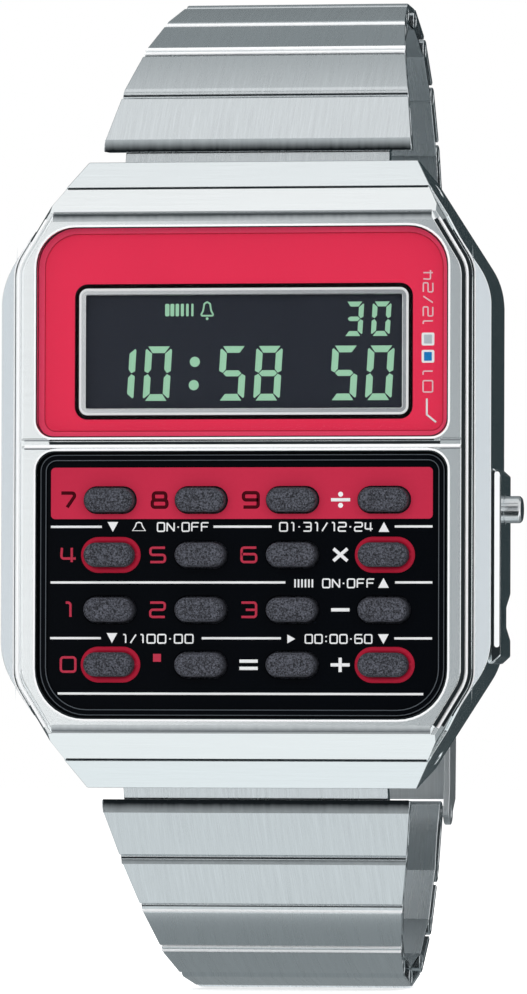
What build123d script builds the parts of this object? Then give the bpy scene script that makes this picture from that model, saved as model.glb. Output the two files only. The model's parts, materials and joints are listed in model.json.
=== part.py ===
from build123d import *
from math import asin, atan2, cos, degrees, hypot, radians, sin
import os

# A calculator wristwatch on a folded link bracelet with a fold over clasp.
# Millimetres. The dial faces -Y, 12 o'clock is +Z and 3 o'clock is +X.
# The origin is the centre of the case back, on its outer face. Heights are counted
# from that face towards the dial, so a height h lies at Y = -h.

os.makedirs("parts", exist_ok=True)

# Whole head: lug tip to lug tip, over the wings, and front plane to case back
case_length = 43.2
case_width = 34.1
case_thickness = 8.2

# Outline of the front, an octagon with long slanted corners
bezel_inset = 1.15
tip_inset = 5.6
slant_run = 7.35
wing_slant_run = 8.7
bezel_corner_radius = 3.0
wing_corner_radius = 5.0
side_flare = 0.06

# Bezel, its stepped bright rim and the hood facets at both ends
bezel_thickness = 2.24
rim_slope = 0.24
rim_height = 0.85
rim_flat = 0.24
step_slope = 0.2
step_height = 0.22
crease_chamfer = 0.28
seam_gap = 0.14
seam_depth = 0.3
hood_run = 3.92
seam_run = 1.96
lug_tip_height = 3.75
lug_tip_flat = 0.4
heel_run = 1.4
wing_fall = 0.65
wing_sink = 1.0
wing_taper_run = 5.7
wing_taper_foot = 4.0

# Windows in the bezel
window_side = 1.58
window_margin = 0.78
ridge_centre = 1.97
ridge_width = 0.87
display_top_radius = 2.8
display_low_radius = 1.25
keypad_top_radius = 1.4
keypad_low_radius = 3.5
window_depth = 1.05
ledge_side = 1.74
ledge_end = 1.0
ridge_ledge = 1.0
press_gap = 0.03

# Grooves that draw the bar between the windows, counted from the ridge's centre
bar_rise = 0.32
bar_drop = 0.21
bar_line_width = 0.1
bar_line_depth = 0.14
bar_start = 0.93
slot_rise = 0.18
slot_width = 0.22
slot_depth = 0.45
bar_slope_width = 0.27
bar_slope_depth = 0.22

# Crystal, printed mask and display
crystal_thickness = 0.8
crystal_bevel = 0.12
crystal_bevel_width = 0.45
mask_thickness = 0.2
frame_side = 2.86
frame_low_margin = 1.575
frame_high_margin = 4.21
frame_band = 0.48
frame_radius = 0.6
frame_thickness = 0.5
surround = 0.3
panel_margin = 0.6
panel_thickness = 1.0

# Keypad
keypad_thickness = 0.4
keypad_rim_inset = 0.28
keypad_rim_width = 0.38
keypad_rim_height = 0.25
key_length = 3.48
key_breadth = 1.67
key_columns = 4
key_rows = 4
key_side_margin = 1.62
key_low_margin = 3.77
key_shift = 0.31
first_row = -1.85
key_gap = 0.12
key_proud = 0.3
key_bevel = 0.18
key_flange = 0.4
key_flange_thickness = 0.35
key_travel = 0.4
key_names = (
    "key_7", "key_8", "key_9", "key_divide",
    "key_4", "key_5", "key_6", "key_multiply",
    "key_1", "key_2", "key_3", "key_minus",
    "key_0", "key_decimal", "key_equals", "key_plus",
)

# Case back, its gasket and screws
back_thickness = 0.93
back_side_inset = 1.25
back_end_gap = 0.3
back_slant_inset = 0.2
back_tip_spread = 1.35
back_bevel = 0.3
gasket_inset = 0.15
gasket_width = 0.4
gasket_height = 0.6
screw_side = 0.25
screw_inset = 1.05
screw_head_radius = 0.8
screw_head_height = 0.5
screw_shank_radius = 0.45
screw_length = 2.6
screw_slot = 0.25

# Cavity and the module in it
cavity_side_wall = 4.55
cavity_end_wall = 5.1
cavity_corner = 2.4
module_gap = 0.1
module_wall = 1.3
module_floor_height = 1.7
module_deck_height = 3.8
panel_rest_gap = 0.01
board_thickness = 0.55
board_gap = 0.4
mat_thickness = 1.2
mat_front_gap = 0.3
dome_radius = 0.9
dome_gap = 0.06
connector_width = 1.2
connector_margin = 0.7
connector_rise = 0.42
battery_side_gap = 2.5
battery_end_gap = 2.5
battery_thickness = 1.6
battery_gap = 0.1
strap_width = 4.0
strap_thickness = 0.18
strap_overlap = 1.2
alarm_radius = 6.5
alarm_thickness = 0.3
alarm_gap = 1.0

# Side pushers and the guard that shields them
pusher_height = 4.0
mode_z = -2.45
adjust_rise = 3.2
mode_stand = 1.8
adjust_stand = 0.45
pusher_radius = 0.93
adjust_radius = 0.83
pusher_gap = 0.08
stem_radius = 0.45
pusher_wall = 1.4
head_sink = 1.65
mode_travel = 0.8
adjust_travel = 0.5
clip_radius = 0.9
clip_thickness = 0.3
clip_gap = 0.15
spring_wire = 0.18
spring_turns = 3.5
guard_reach = 0.62
guard_top = 0.35
guard_run = 0.1
guard_floor = 1.1
guard_head = 6.2
guard_slope = 0.5
guard_edge = 0.1
guard_groove = 0.18
guard_groove_depth = 0.6
scoop_half = 1.6
scoop_depth = 0.32
scoop_slope = 0.9
scoop_roof = 5.3

# Spring bars between the lugs
lug_wall = 1.95
bar_run = 2.1
bar_height = 2.6
bar_radius = 0.75
bar_tip_radius = 0.4
bar_tip_length = 1.4
bar_gap = 0.05
bar_side_gap = 0.15
gap_floor_run = 1.7
gap_roof = 4.3
hood_lip = 0.3

# Folded links: pitch between pivots, sheet thicknesses and the rolled knuckles
link_count = 9
link_pitch = 4.75
roll_radius = 0.75
bead_radius = 0.42
bead_gap = 0.06
cover_sheet = 0.35
inner_sheet = 0.28
tongue_sheet = 0.3
tongue_inset = 1.5
slot_gap = 0.1
slot_margin = 3.0
back_bend = 4.0
inner_bulge = 0.25
link_gap = 0.08
neck_side_gap = 0.25
neck_length = 3.57
neck_tilt = 20.5
neck_sheet = 0.8
roll_trim = 0.42
barrel_wall = 0.5
link_inset = 0.75
narrow_link = 15.3
taper_shares = (1.0, 0.76, 0.49, 0.26, 0.08, 0.0, 0.0, 0.0, 0.0, 0.0)

# Tilt of each link at rest, in degrees from the head's length towards the wrist
upper_tilts = (41.0, 51.0, 63.0, 72.5, 91.0, 112.5, 132.0, 147.0, 158.0)
lower_tilts = (42.0, 45.0, 54.0, 69.0, 80.5, 102.0, 123.5, 142.0, 155.5)

# Clasp, counted along its length from the last upper pivot to the last lower pivot
exposed_ladder = 4.2
ladder_width = 9.2
ladder_thickness = 0.6
ladder_length = 30.0
rung_pitch = 2.2
rung_slot = 1.2
rung_width = 5.0
first_rung = 12.6
rung_count = 7
base_start = 8.2
base_sheet = 0.5
base_floor_gap = 0.3
base_side_gap = 0.15
base_lip = 1.7
base_lip_gap = 0.15
base_lip_sheet = 0.35
blade_pivot = 34.5
blade_pivot_rise = 0.6
pin_radius = 0.3
pin_gap = 0.05
knuckle_radius = 0.6
knuckle_width = 5.0
knuckle_gap = 0.1
blade_width = 7.2
blade_sheet = 0.4
blade_lift = 1.0
fold_pivot = 6.4
fold_rise = 1.05
fold_knuckle_radius = 0.5
ear_width = 0.9
ear_gap = 0.1
cover_start = 4.7
cover_end_gap = 0.12
hinge_ear = 0.95
cover_plate = 0.5
cover_rise = 1.65
cover_crown = 0.6
cover_side_gap = 0.25
cover_side_sheet = 0.45
cover_side_drop = 0.5
cover_hole_gap = 0.06
pin_short = 0.12
lever_start = 13.0
lever_length = 6.6
lever_width = 4.4
lever_sheet = 0.45
lever_gap = 0.12
lever_foot = 0.9
lever_foot_gap = 0.06
lever_pin_radius = 0.16
lever_knuckle_radius = 0.32
base_travel = 6.0

overrun = 40.0

# Half sizes and heights that several pieces share
wing_half = case_width / 2
tip_end = case_length / 2
bezel_half = wing_half - bezel_inset
tip_half = wing_half - tip_inset
straight_half = tip_end - slant_run
wing_straight_half = tip_end - wing_slant_run
flat_end = tip_end - hood_run
seam_end = tip_end - seam_run
lug_heel = tip_end - heel_run
wing_taper_start = tip_end - wing_taper_run
wing_taper_end = tip_end - wing_taper_foot
window_half = bezel_half - window_side
window_end = flat_end - window_margin
window_low = ridge_centre + ridge_width / 2
keypad_high = ridge_centre - ridge_width / 2
frame_half = window_half - frame_side
frame_low = window_low + frame_low_margin
frame_high = window_end - frame_high_margin
key_pitch_x = 2 * (window_half - key_side_margin) / key_columns
key_pitch_z = (window_end - key_low_margin + first_row) / (key_rows - 1)
seat_height = case_thickness - bezel_thickness
ledge_height = case_thickness - window_depth
crystal_floor = ledge_height + mask_thickness
panel_top = crystal_floor - frame_thickness
panel_floor = panel_top - panel_thickness
keypad_floor = ledge_height
key_top = case_thickness + key_proud
flange_top = keypad_floor - press_gap
flange_floor = flange_top - key_flange_thickness
board_floor = module_deck_height + press_gap
board_top = board_floor + board_thickness
mat_floor = board_top + press_gap
mat_top = mat_floor + mat_thickness
cavity_half = wing_half - cavity_side_wall
cavity_end = tip_end - cavity_end_wall
module_half = cavity_half - module_gap
module_end = cavity_end - module_gap
board_half = module_half - module_wall - board_gap
board_end = module_end - module_wall - board_gap
battery_radius = cavity_half - battery_side_gap
battery_z = battery_radius + battery_end_gap - cavity_end
alarm_z = cavity_end - alarm_radius - alarm_gap
connector_z = frame_low + connector_rise
bar_end = tip_end - bar_run
gap_floor_end = bar_end - gap_floor_run
back_half = wing_half - back_side_inset
back_end = gap_floor_end - back_end_gap
screw_x = cavity_half + screw_side
screw_z = cavity_end - screw_inset
lug_half = tip_half - lug_wall
bar_half = lug_half - bar_side_gap
guard_low = -wing_straight_half - guard_run
adjust_z = guard_low + adjust_rise
mode_reach = wing_half + mode_stand
adjust_reach = wing_half + adjust_stand
head_inner = wing_half - head_sink


def slant_half(z):
    """Half width of the bezel's slanted corner line at a distance z from the centre."""
    share = (tip_end - z) / (tip_end - straight_half)
    return tip_half + (bezel_half - tip_half) * share


def octagon(half_x, straight, tip_x, tip_z, corner_radius=0):
    """Octagonal outline, symmetric about both axes, with rounded side corners."""
    quarter = [(half_x, straight), (tip_x, tip_z)]
    right = [(x, -z) for x, z in reversed(quarter)] + quarter
    Polygon(*right, *[(-x, z) for x, z in reversed(right)], align=None)
    if corner_radius:
        ends = vertices().group_by(Axis.X)
        fillet(ends[0] + ends[-1], corner_radius)


def window(half_x, low, high, low_radius, high_radius):
    """Rectangular outline whose low and high corners have their own radii."""
    Polygon((-half_x, low), (half_x, low), (half_x, high), (-half_x, high), align=None)
    if low_radius:
        fillet(vertices().group_by(Axis.Y)[0], low_radius)
    if high_radius:
        fillet(vertices().group_by(Axis.Y)[-1], high_radius)


def layer(height):
    """Sketch plane parallel to the dial, at a height above the case back."""
    return Plane.XZ.offset(height)


def end_view(side):
    """Plane seen along the bracelet's pivots: x runs out along the head, y is height."""
    return Plane(origin=(0, 0, 0), x_dir=(0, 0, side), z_dir=(side, 0, 0))


cross_view = Plane(origin=(0, 0, 0), x_dir=(1, 0, 0), z_dir=(0, 0, -1))
both_ends = (1, -1)


# Button guard, a long rail on the 3 o'clock side with a scoop round the sunk pusher
guard_outer = wing_half + guard_reach
guard_inner = wing_half - module_wall
with BuildPart() as guard:
    with BuildSketch(cross_view):
        Polygon(
            (guard_inner, guard_floor),
            (wing_half, guard_floor),
            (guard_outer, guard_floor + guard_slope),
            (guard_outer, guard_head - guard_edge),
            (guard_outer - guard_edge, guard_head),
            (wing_half + guard_groove, guard_head),
            (wing_half + guard_groove, guard_head - guard_groove_depth),
            (guard_inner, guard_head - guard_groove_depth),
            align=None,
        )
    extrude(amount=overrun, both=True)
    with BuildSketch(layer(guard_floor)):
        Polygon(
            (guard_inner, guard_low),
            (wing_half, guard_low),
            (guard_outer, guard_low + guard_slope),
            (guard_outer, guard_top - guard_slope),
            (wing_half, guard_top),
            (guard_inner, guard_top),
            align=None,
        )
    extrude(amount=case_thickness, mode=Mode.INTERSECT)
    with BuildSketch(layer(guard_floor)):
        Polygon(
            (guard_outer, adjust_z - scoop_half),
            (guard_outer - scoop_depth, adjust_z - scoop_half + scoop_slope),
            (guard_outer - scoop_depth, adjust_z + scoop_half - scoop_slope),
            (guard_outer, adjust_z + scoop_half),
            align=None,
        )
    extrude(amount=scoop_roof - guard_floor, mode=Mode.SUBTRACT)


# Case body: drafted walls, hoods over the lugs and wings beside the bezel
wing_height = case_thickness - wing_sink
hood_fall = degrees(atan2(seat_height - lug_tip_height, tip_end - seam_end))
with BuildPart() as case_body:
    with BuildSketch(layer(back_thickness)):
        octagon(
            wing_half + side_flare,
            wing_straight_half,
            tip_half + side_flare,
            tip_end,
            wing_corner_radius,
        )
    extrude(
        amount=wing_height - back_thickness,
        taper=degrees(atan2(side_flare, wing_height - back_thickness)),
    )
    with BuildSketch(end_view(1)):
        quarter_side = [
            (lug_heel, back_thickness),
            (tip_end, lug_tip_height - lug_tip_flat),
            (tip_end, lug_tip_height),
            (seam_end, seat_height),
            (wing_taper_end, seat_height),
            (wing_taper_start, wing_height),
        ]
        Polygon(*quarter_side, *[(-z, h) for z, h in reversed(quarter_side)], align=None)
    extrude(amount=overrun, both=True, mode=Mode.INTERSECT)
    with BuildSketch(cross_view):
        quarter_cross = [
            (wing_half + side_flare, back_thickness),
            (wing_half, wing_height - wing_fall),
            (bezel_half, wing_height),
        ]
        Polygon(*quarter_cross, *[(-x, h) for x, h in reversed(quarter_cross)], align=None)
    extrude(amount=overrun, both=True, mode=Mode.INTERSECT)
    add(guard.part)
    with BuildSketch(layer(seat_height)):
        octagon(bezel_half, straight_half, slant_half(seam_end), seam_end, bezel_corner_radius)
    extrude(amount=overrun, mode=Mode.SUBTRACT)
    with BuildSketch(layer(0)):
        octagon(cavity_half, cavity_end - cavity_corner, cavity_half - cavity_corner, cavity_end)
    extrude(amount=case_thickness, mode=Mode.SUBTRACT)
    with BuildSketch(layer(back_thickness)):
        octagon(cavity_half, cavity_end - cavity_corner, cavity_half - cavity_corner, cavity_end)
        offset(amount=gasket_inset + gasket_width, kind=Kind.INTERSECTION)
    extrude(amount=gasket_height, mode=Mode.SUBTRACT)
    for side in both_ends:
        with BuildSketch(end_view(side)):
            Polygon(
                (gap_floor_end, 0),
                (gap_floor_end, gap_roof),
                (bar_end, gap_roof),
                (tip_end, lug_tip_height - hood_lip),
                (tip_end, 0),
                align=None,
            )
        extrude(amount=lug_half, both=True, mode=Mode.SUBTRACT)
        with BuildSketch(end_view(side)):
            with Locations((seam_end, seat_height)):
                Rectangle(2 * seam_gap, 2 * seam_depth, rotation=-hood_fall)
        extrude(amount=overrun, both=True, mode=Mode.SUBTRACT)
        with BuildSketch(end_view(side)):
            with Locations((bar_end, bar_height)):
                Circle(bar_tip_radius + bar_gap)
        extrude(amount=overrun, both=True, mode=Mode.SUBTRACT)
    with BuildSketch(layer(back_thickness)):
        with GridLocations(2 * screw_x, 2 * screw_z, 2, 2):
            Circle(screw_shank_radius)
    extrude(amount=screw_length - back_thickness + screw_head_height, mode=Mode.SUBTRACT)
    for pusher_z, radius in ((mode_z, pusher_radius), (adjust_z, adjust_radius)):
        stem_plane = Plane(origin=(cavity_half, -pusher_height, pusher_z), z_dir=(1, 0, 0))
        with BuildSketch(stem_plane):
            Circle(stem_radius + pusher_gap)
        extrude(amount=overrun, mode=Mode.SUBTRACT)
        with BuildSketch(stem_plane.offset(pusher_wall)):
            Circle(radius + pusher_gap)
        extrude(amount=overrun, mode=Mode.SUBTRACT)
case_body.part.label = "case_body"
export_step(case_body.part, "parts/case_body.step")


# Bezel: octagonal front with a stepped bright rim and two stepped windows
flat_inset = rim_slope + rim_flat
with BuildPart() as bezel:
    with BuildSketch(layer(seat_height)):
        octagon(bezel_half, straight_half, slant_half(seam_end), seam_end, bezel_corner_radius)
    extrude(amount=bezel_thickness - rim_height)
    with BuildSketch(layer(case_thickness - rim_height)):
        octagon(bezel_half, straight_half, slant_half(seam_end), seam_end, bezel_corner_radius)
    extrude(
        amount=rim_height - step_height,
        taper=degrees(atan2(rim_slope, rim_height - step_height)),
    )
    with BuildSketch(layer(case_thickness - step_height)):
        octagon(bezel_half, straight_half, slant_half(seam_end), seam_end, bezel_corner_radius)
        offset(amount=-flat_inset)
    extrude(amount=step_height, taper=degrees(atan2(step_slope, step_height)))
    with BuildSketch(end_view(1)):
        slope = [(seam_end, seat_height), (flat_end, case_thickness)]
        Polygon(*slope, *[(-z, h) for z, h in reversed(slope)], align=None)
        chamfer(vertices().group_by(Axis.Y)[-1], crease_chamfer)
    extrude(amount=overrun, both=True, mode=Mode.INTERSECT)
    with BuildSketch(layer(ledge_height)):
        window(window_half, window_low, window_end, display_low_radius, display_top_radius)
    extrude(amount=overrun, mode=Mode.SUBTRACT)
    with BuildSketch(layer(ledge_height)):
        window(window_half, -window_end, keypad_high, keypad_low_radius, keypad_top_radius)
    extrude(amount=overrun, mode=Mode.SUBTRACT)
    opening_half = window_half - ledge_side
    opening_end = window_end - ledge_end
    with BuildSketch(layer(seat_height)):
        window(opening_half, window_low + ridge_ledge / 2, opening_end, 0, 0)
        window(opening_half, -opening_end, keypad_high - ridge_ledge, 0, 0)
    extrude(amount=bezel_thickness, mode=Mode.SUBTRACT)
    bar_half_width = window_half - bar_start
    for edge in both_ends:
        with BuildSketch(layer(case_thickness)):
            for line_z in (ridge_centre + bar_rise, ridge_centre - bar_drop):
                with Locations((edge * bezel_half, line_z)):
                    Rectangle(2 * (bezel_half - bar_half_width), bar_line_width)
        extrude(amount=-bar_line_depth, mode=Mode.SUBTRACT)
    with BuildSketch(layer(case_thickness)):
        with Locations((0, ridge_centre + slot_rise)):
            SlotOverall(2 * bar_half_width, slot_width)
    extrude(amount=-slot_depth, mode=Mode.SUBTRACT)
    with BuildSketch(end_view(1)):
        Polygon(
            (keypad_high, case_thickness),
            (keypad_high, case_thickness - bar_slope_depth),
            (keypad_high + bar_slope_width, case_thickness),
            align=None,
        )
    extrude(amount=bar_half_width, both=True, mode=Mode.SUBTRACT)
bezel.part.label = "bezel"
export_step(bezel.part, "parts/bezel.step")


# Crystal over the display window, with a small bevel round its front
with BuildPart() as crystal:
    with BuildSketch(layer(crystal_floor)):
        window(window_half, window_low, window_end, display_low_radius, display_top_radius)
        offset(amount=-press_gap, kind=Kind.INTERSECTION)
    extrude(amount=crystal_thickness)
    front = faces().sort_by(Axis.Y)[0]
    chamfer(front.edges(), crystal_bevel, crystal_bevel_width)
crystal.part.label = "crystal"
export_step(crystal.part, "parts/crystal.step")


# Coloured mask behind the crystal, cut out round the display
with BuildPart() as display_mask:
    with BuildSketch(layer(ledge_height)):
        window(window_half, window_low, window_end, display_low_radius, display_top_radius)
        offset(amount=-press_gap, kind=Kind.INTERSECTION)
    extrude(amount=mask_thickness)
    with BuildSketch(layer(ledge_height)):
        window(frame_half, frame_low, frame_high, frame_radius, frame_radius)
        offset(amount=surround)
    extrude(amount=mask_thickness, mode=Mode.SUBTRACT)
display_mask.part.label = "display_mask"
export_step(display_mask.part, "parts/display_mask.step")


# Bright frame round the display, from the panel up to the crystal
with BuildPart() as display_frame:
    with BuildSketch(layer(panel_top)):
        window(frame_half, frame_low, frame_high, frame_radius, frame_radius)
        offset(amount=-frame_band, mode=Mode.SUBTRACT)
    extrude(amount=frame_thickness)
display_frame.part.label = "display_frame"
export_step(display_frame.part, "parts/display_frame.step")


# Liquid crystal panel: two glasses, the rear one longer for its contacts
with BuildPart() as lcd_panel:
    panel_half = frame_half + panel_margin
    with BuildSketch(layer(panel_floor)):
        window(panel_half, frame_low - panel_margin, frame_high + panel_margin / 2, 0, 0)
    extrude(amount=panel_thickness / 2)
    with BuildSketch(layer(panel_floor + panel_thickness / 2)):
        window(panel_half, frame_low - panel_margin / 2, frame_high + panel_margin / 2, 0, 0)
    extrude(amount=panel_thickness / 2)
lcd_panel.part.label = "lcd_panel"
export_step(lcd_panel.part, "parts/lcd_panel.step")


# Keypad plate with a slot for each key and a raised rim
key_spots = [
    (
        key_shift + key_pitch_x * (column - (key_columns - 1) / 2),
        first_row - key_pitch_z * row,
    )
    for row in range(key_rows)
    for column in range(key_columns)
]
with BuildPart() as keypad_plate:
    with BuildSketch(layer(keypad_floor)):
        window(window_half, -window_end, keypad_high, keypad_low_radius, keypad_top_radius)
        offset(amount=-press_gap, kind=Kind.INTERSECTION)
        with Locations(*key_spots):
            SlotOverall(key_length + 2 * key_gap, key_breadth + 2 * key_gap, mode=Mode.SUBTRACT)
    extrude(amount=keypad_thickness)
    with BuildSketch(layer(keypad_floor)):
        window(window_half, -window_end, keypad_high, keypad_low_radius, keypad_top_radius)
        offset(amount=-keypad_rim_inset, kind=Kind.INTERSECTION)
        offset(amount=-keypad_rim_width, kind=Kind.INTERSECTION, mode=Mode.SUBTRACT)
    extrude(amount=keypad_thickness + keypad_rim_height)
keypad_plate.part.label = "keypad_plate"
export_step(keypad_plate.part, "parts/keypad_plate.step")


def make_key(name, spot):
    """One rubber key: a flange held behind the plate and a post through its slot."""
    with BuildPart() as key:
        with BuildSketch(layer(flange_floor)):
            with Locations(spot):
                SlotOverall(key_length + 2 * key_flange, key_breadth + 2 * key_flange)
        extrude(amount=key_flange_thickness)
        with BuildSketch(layer(flange_floor)):
            with Locations(spot):
                SlotOverall(key_length, key_breadth)
        extrude(amount=key_top - flange_floor)
        chamfer(faces().sort_by(Axis.Y)[0].edges(), key_bevel)
    key.part.label = name
    export_step(key.part, f"parts/{name}.step")


for name, spot in zip(key_names, key_spots):
    make_key(name, spot)


# Contact mat under the keys, with a low dome for each
with BuildPart() as keypad_mat:
    with BuildSketch(layer(mat_floor)):
        mat_corner = cavity_corner / 2
        octagon(board_half, board_end - mat_corner, board_half - mat_corner, board_end)
        with BuildSketch(mode=Mode.INTERSECT):
            window(board_half, -board_end, keypad_high - mat_front_gap, 0, 0)
    extrude(amount=mat_thickness)
    with BuildSketch(layer(mat_top)):
        with Locations(*key_spots):
            Circle(dome_radius)
    extrude(amount=flange_floor - key_travel - dome_gap - mat_top)
keypad_mat.part.label = "keypad_mat"
export_step(keypad_mat.part, "parts/keypad_mat.step")


# Circuit board
with BuildPart() as circuit_board:
    with BuildSketch(layer(board_floor)):
        octagon(board_half, board_end - cavity_corner, board_half - cavity_corner, board_end)
    extrude(amount=board_thickness)
circuit_board.part.label = "circuit_board"
export_step(circuit_board.part, "parts/circuit_board.step")


# Striped rubber connector between the board and the display
with BuildPart() as display_connector:
    with BuildSketch(layer(board_top)):
        with Locations((0, connector_z)):
            Rectangle(2 * (board_half - connector_margin), connector_width)
    extrude(amount=panel_floor - board_top)
display_connector.part.label = "display_connector"
export_step(display_connector.part, "parts/display_connector.step")


# Module frame: a deck with the battery well behind it and a wall round the board
with BuildPart() as module_frame:
    with BuildSketch(layer(module_floor_height)):
        octagon(module_half, module_end - cavity_corner, module_half - cavity_corner, module_end)
    extrude(amount=panel_floor - panel_rest_gap - module_floor_height)
    with BuildSketch(layer(module_deck_height)):
        octagon(module_half, module_end - cavity_corner, module_half - cavity_corner, module_end)
        offset(amount=-module_wall, kind=Kind.INTERSECTION)
    extrude(amount=case_thickness, mode=Mode.SUBTRACT)
    with BuildSketch(layer(module_floor_height)):
        with Locations((0, battery_z)):
            Circle(battery_radius + battery_gap)
    extrude(amount=battery_thickness + battery_gap, mode=Mode.SUBTRACT)
    with BuildSketch(Plane(origin=(module_half, 0, 0), z_dir=(-1, 0, 0), x_dir=(0, 0, 1))):
        for pusher_z in (mode_z, adjust_z):
            with Locations((pusher_z, -pusher_height)):
                Rectangle(2 * (clip_radius + clip_gap), 2 * (clip_radius + clip_gap))
    extrude(amount=module_wall + 2 * clip_gap, mode=Mode.SUBTRACT)
module_frame.part.label = "module_frame"
export_step(module_frame.part, "parts/module_frame.step")


# Coin battery with its stepped can
battery_floor = module_floor_height
with BuildPart() as battery:
    with BuildSketch(layer(battery_floor)):
        with Locations((0, battery_z)):
            Circle(battery_radius)
    extrude(amount=battery_thickness)
    chamfer(faces().sort_by(Axis.Y)[-1].edges(), battery_gap)
battery.part.label = "battery"
export_step(battery.part, "parts/battery.step")


# Spring strap that holds the battery in its well
with BuildPart() as battery_strap:
    with BuildSketch(layer(battery_floor - strap_thickness)):
        with Locations((0, battery_z)):
            SlotOverall(2 * battery_radius + 2 * strap_overlap, strap_width)
    extrude(amount=strap_thickness)
battery_strap.part.label = "battery_strap"
export_step(battery_strap.part, "parts/battery_strap.step")


# Piezo disc of the alarm, on the inside of the case back
with BuildPart() as alarm_disc:
    with BuildSketch(layer(back_thickness)):
        with Locations((0, alarm_z)):
            Circle(alarm_radius)
    extrude(amount=alarm_thickness / 2)
    with BuildSketch(layer(back_thickness + alarm_thickness / 2)):
        with Locations((0, alarm_z)):
            Circle(alarm_radius - module_wall)
    extrude(amount=alarm_thickness / 2)
alarm_disc.part.label = "alarm_disc"
export_step(alarm_disc.part, "parts/alarm_disc.step")


# Case back plate with bevelled edge and countersunk screw seats
with BuildPart() as case_back:
    with BuildSketch(layer(0)):
        octagon(
            back_half,
            wing_straight_half - back_slant_inset,
            tip_half + back_tip_spread,
            back_end,
        )
    extrude(amount=back_thickness)
    chamfer(faces().sort_by(Axis.Y)[-1].edges(), back_bevel)
    with BuildSketch(layer(0)):
        with GridLocations(2 * screw_x, 2 * screw_z, 2, 2):
            Circle(screw_head_radius + press_gap)
    extrude(amount=screw_head_height, mode=Mode.SUBTRACT)
    with BuildSketch(layer(0)):
        with GridLocations(2 * screw_x, 2 * screw_z, 2, 2):
            Circle(screw_shank_radius + press_gap)
    extrude(amount=back_thickness, mode=Mode.SUBTRACT)
case_back.part.label = "case_back"
export_step(case_back.part, "parts/case_back.step")


# Rubber gasket in the groove round the cavity
with BuildPart() as back_gasket:
    with BuildSketch(layer(back_thickness)):
        octagon(cavity_half, cavity_end - cavity_corner, cavity_half - cavity_corner, cavity_end)
        offset(amount=gasket_inset + gasket_width - press_gap, kind=Kind.INTERSECTION)
        with BuildSketch(mode=Mode.SUBTRACT):
            octagon(
                cavity_half, cavity_end - cavity_corner, cavity_half - cavity_corner, cavity_end
            )
            offset(amount=gasket_inset, kind=Kind.INTERSECTION)
    extrude(amount=gasket_height)
back_gasket.part.label = "back_gasket"
export_step(back_gasket.part, "parts/back_gasket.step")


# Four slotted screws through the case back into the body
screw_head_floor = back_bevel / 3
with BuildPart() as back_screws:
    with BuildSketch(layer(screw_head_floor)):
        with GridLocations(2 * screw_x, 2 * screw_z, 2, 2):
            Circle(screw_head_radius)
    extrude(amount=screw_head_height - screw_head_floor)
    with BuildSketch(layer(screw_head_height)):
        with GridLocations(2 * screw_x, 2 * screw_z, 2, 2):
            Circle(screw_shank_radius)
    extrude(amount=screw_length)
    with BuildSketch(layer(0)):
        with GridLocations(2 * screw_x, 2 * screw_z, 2, 2):
            Rectangle(2 * screw_head_radius, screw_slot)
            Rectangle(screw_slot, 2 * screw_head_radius)
    extrude(amount=screw_head_height - screw_slot / 2, mode=Mode.SUBTRACT)
back_screws.part.label = "back_screws"
export_step(back_screws.part, "parts/back_screws.step")


def make_pusher(name, pusher_z, radius, reach):
    """Side pusher: head, stem through the wall and a retaining clip inside the case."""
    stem_start = cavity_half - clip_gap - 2 * clip_thickness
    stem_plane = Plane(origin=(stem_start, -pusher_height, pusher_z), z_dir=(1, 0, 0))
    with BuildPart() as pusher:
        with BuildSketch(stem_plane):
            Circle(stem_radius)
        extrude(amount=head_inner - stem_start)
        with BuildSketch(stem_plane.offset(clip_thickness)):
            Circle(clip_radius)
        extrude(amount=clip_thickness)
        with BuildSketch(stem_plane.offset(head_inner - stem_start)):
            Circle(radius)
        extrude(amount=reach - head_inner)
        chamfer(faces().sort_by(Axis.X)[-1].edges(), pusher_gap * 2)
    pusher.part.label = name
    export_step(pusher.part, f"parts/{name}.step")


make_pusher("mode_pusher", mode_z, pusher_radius, mode_reach)
make_pusher("adjust_pusher", adjust_z, adjust_radius, adjust_reach)


# Return springs of the pushers, coiled round their stems
spring_start = cavity_half + pusher_wall + spring_wire
spring_height = head_inner - spring_start - spring_wire
spring_mean = stem_radius + pusher_gap + spring_wire
with BuildPart() as pusher_springs:
    for pusher_z in (mode_z, adjust_z):
        spring_plane = Plane(origin=(spring_start, -pusher_height, pusher_z), z_dir=(1, 0, 0))
        with BuildLine() as coil:
            Helix(
                pitch=spring_height / spring_turns,
                height=spring_height,
                radius=spring_mean,
                center=spring_plane.origin,
                direction=spring_plane.z_dir,
            )
        with BuildSketch(Plane(origin=coil.line @ 0, z_dir=coil.line % 0)):
            Rectangle(spring_wire, spring_wire)
        sweep(path=coil.line, is_frenet=True)
pusher_springs.part.label = "pusher_springs"
export_step(pusher_springs.part, "parts/pusher_springs.step")


# Two spring bars, each with a thin tip at both ends
with BuildPart() as spring_bars:
    for side in both_ends:
        for radius, half in ((bar_radius, bar_half), (bar_tip_radius, lug_half + bar_tip_length)):
            with BuildSketch(end_view(side)):
                with Locations((bar_end, bar_height)):
                    Circle(radius)
            extrude(amount=half, both=True)
spring_bars.part.label = "spring_bars"
export_step(spring_bars.part, "parts/spring_bars.step")


def half_width(index):
    """Half the bracelet's width at a pivot, counted from the case."""
    wide_half = tip_half - link_inset
    narrow_half = narrow_link / 2
    return narrow_half + (wide_half - narrow_half) * taper_shares[index]


def along(point, tilt, length):
    """A point further along the chain, in outward distance and height."""
    return (
        point[0] + length * cos(radians(tilt)),
        point[1] - length * sin(radians(tilt)),
    )


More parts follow.
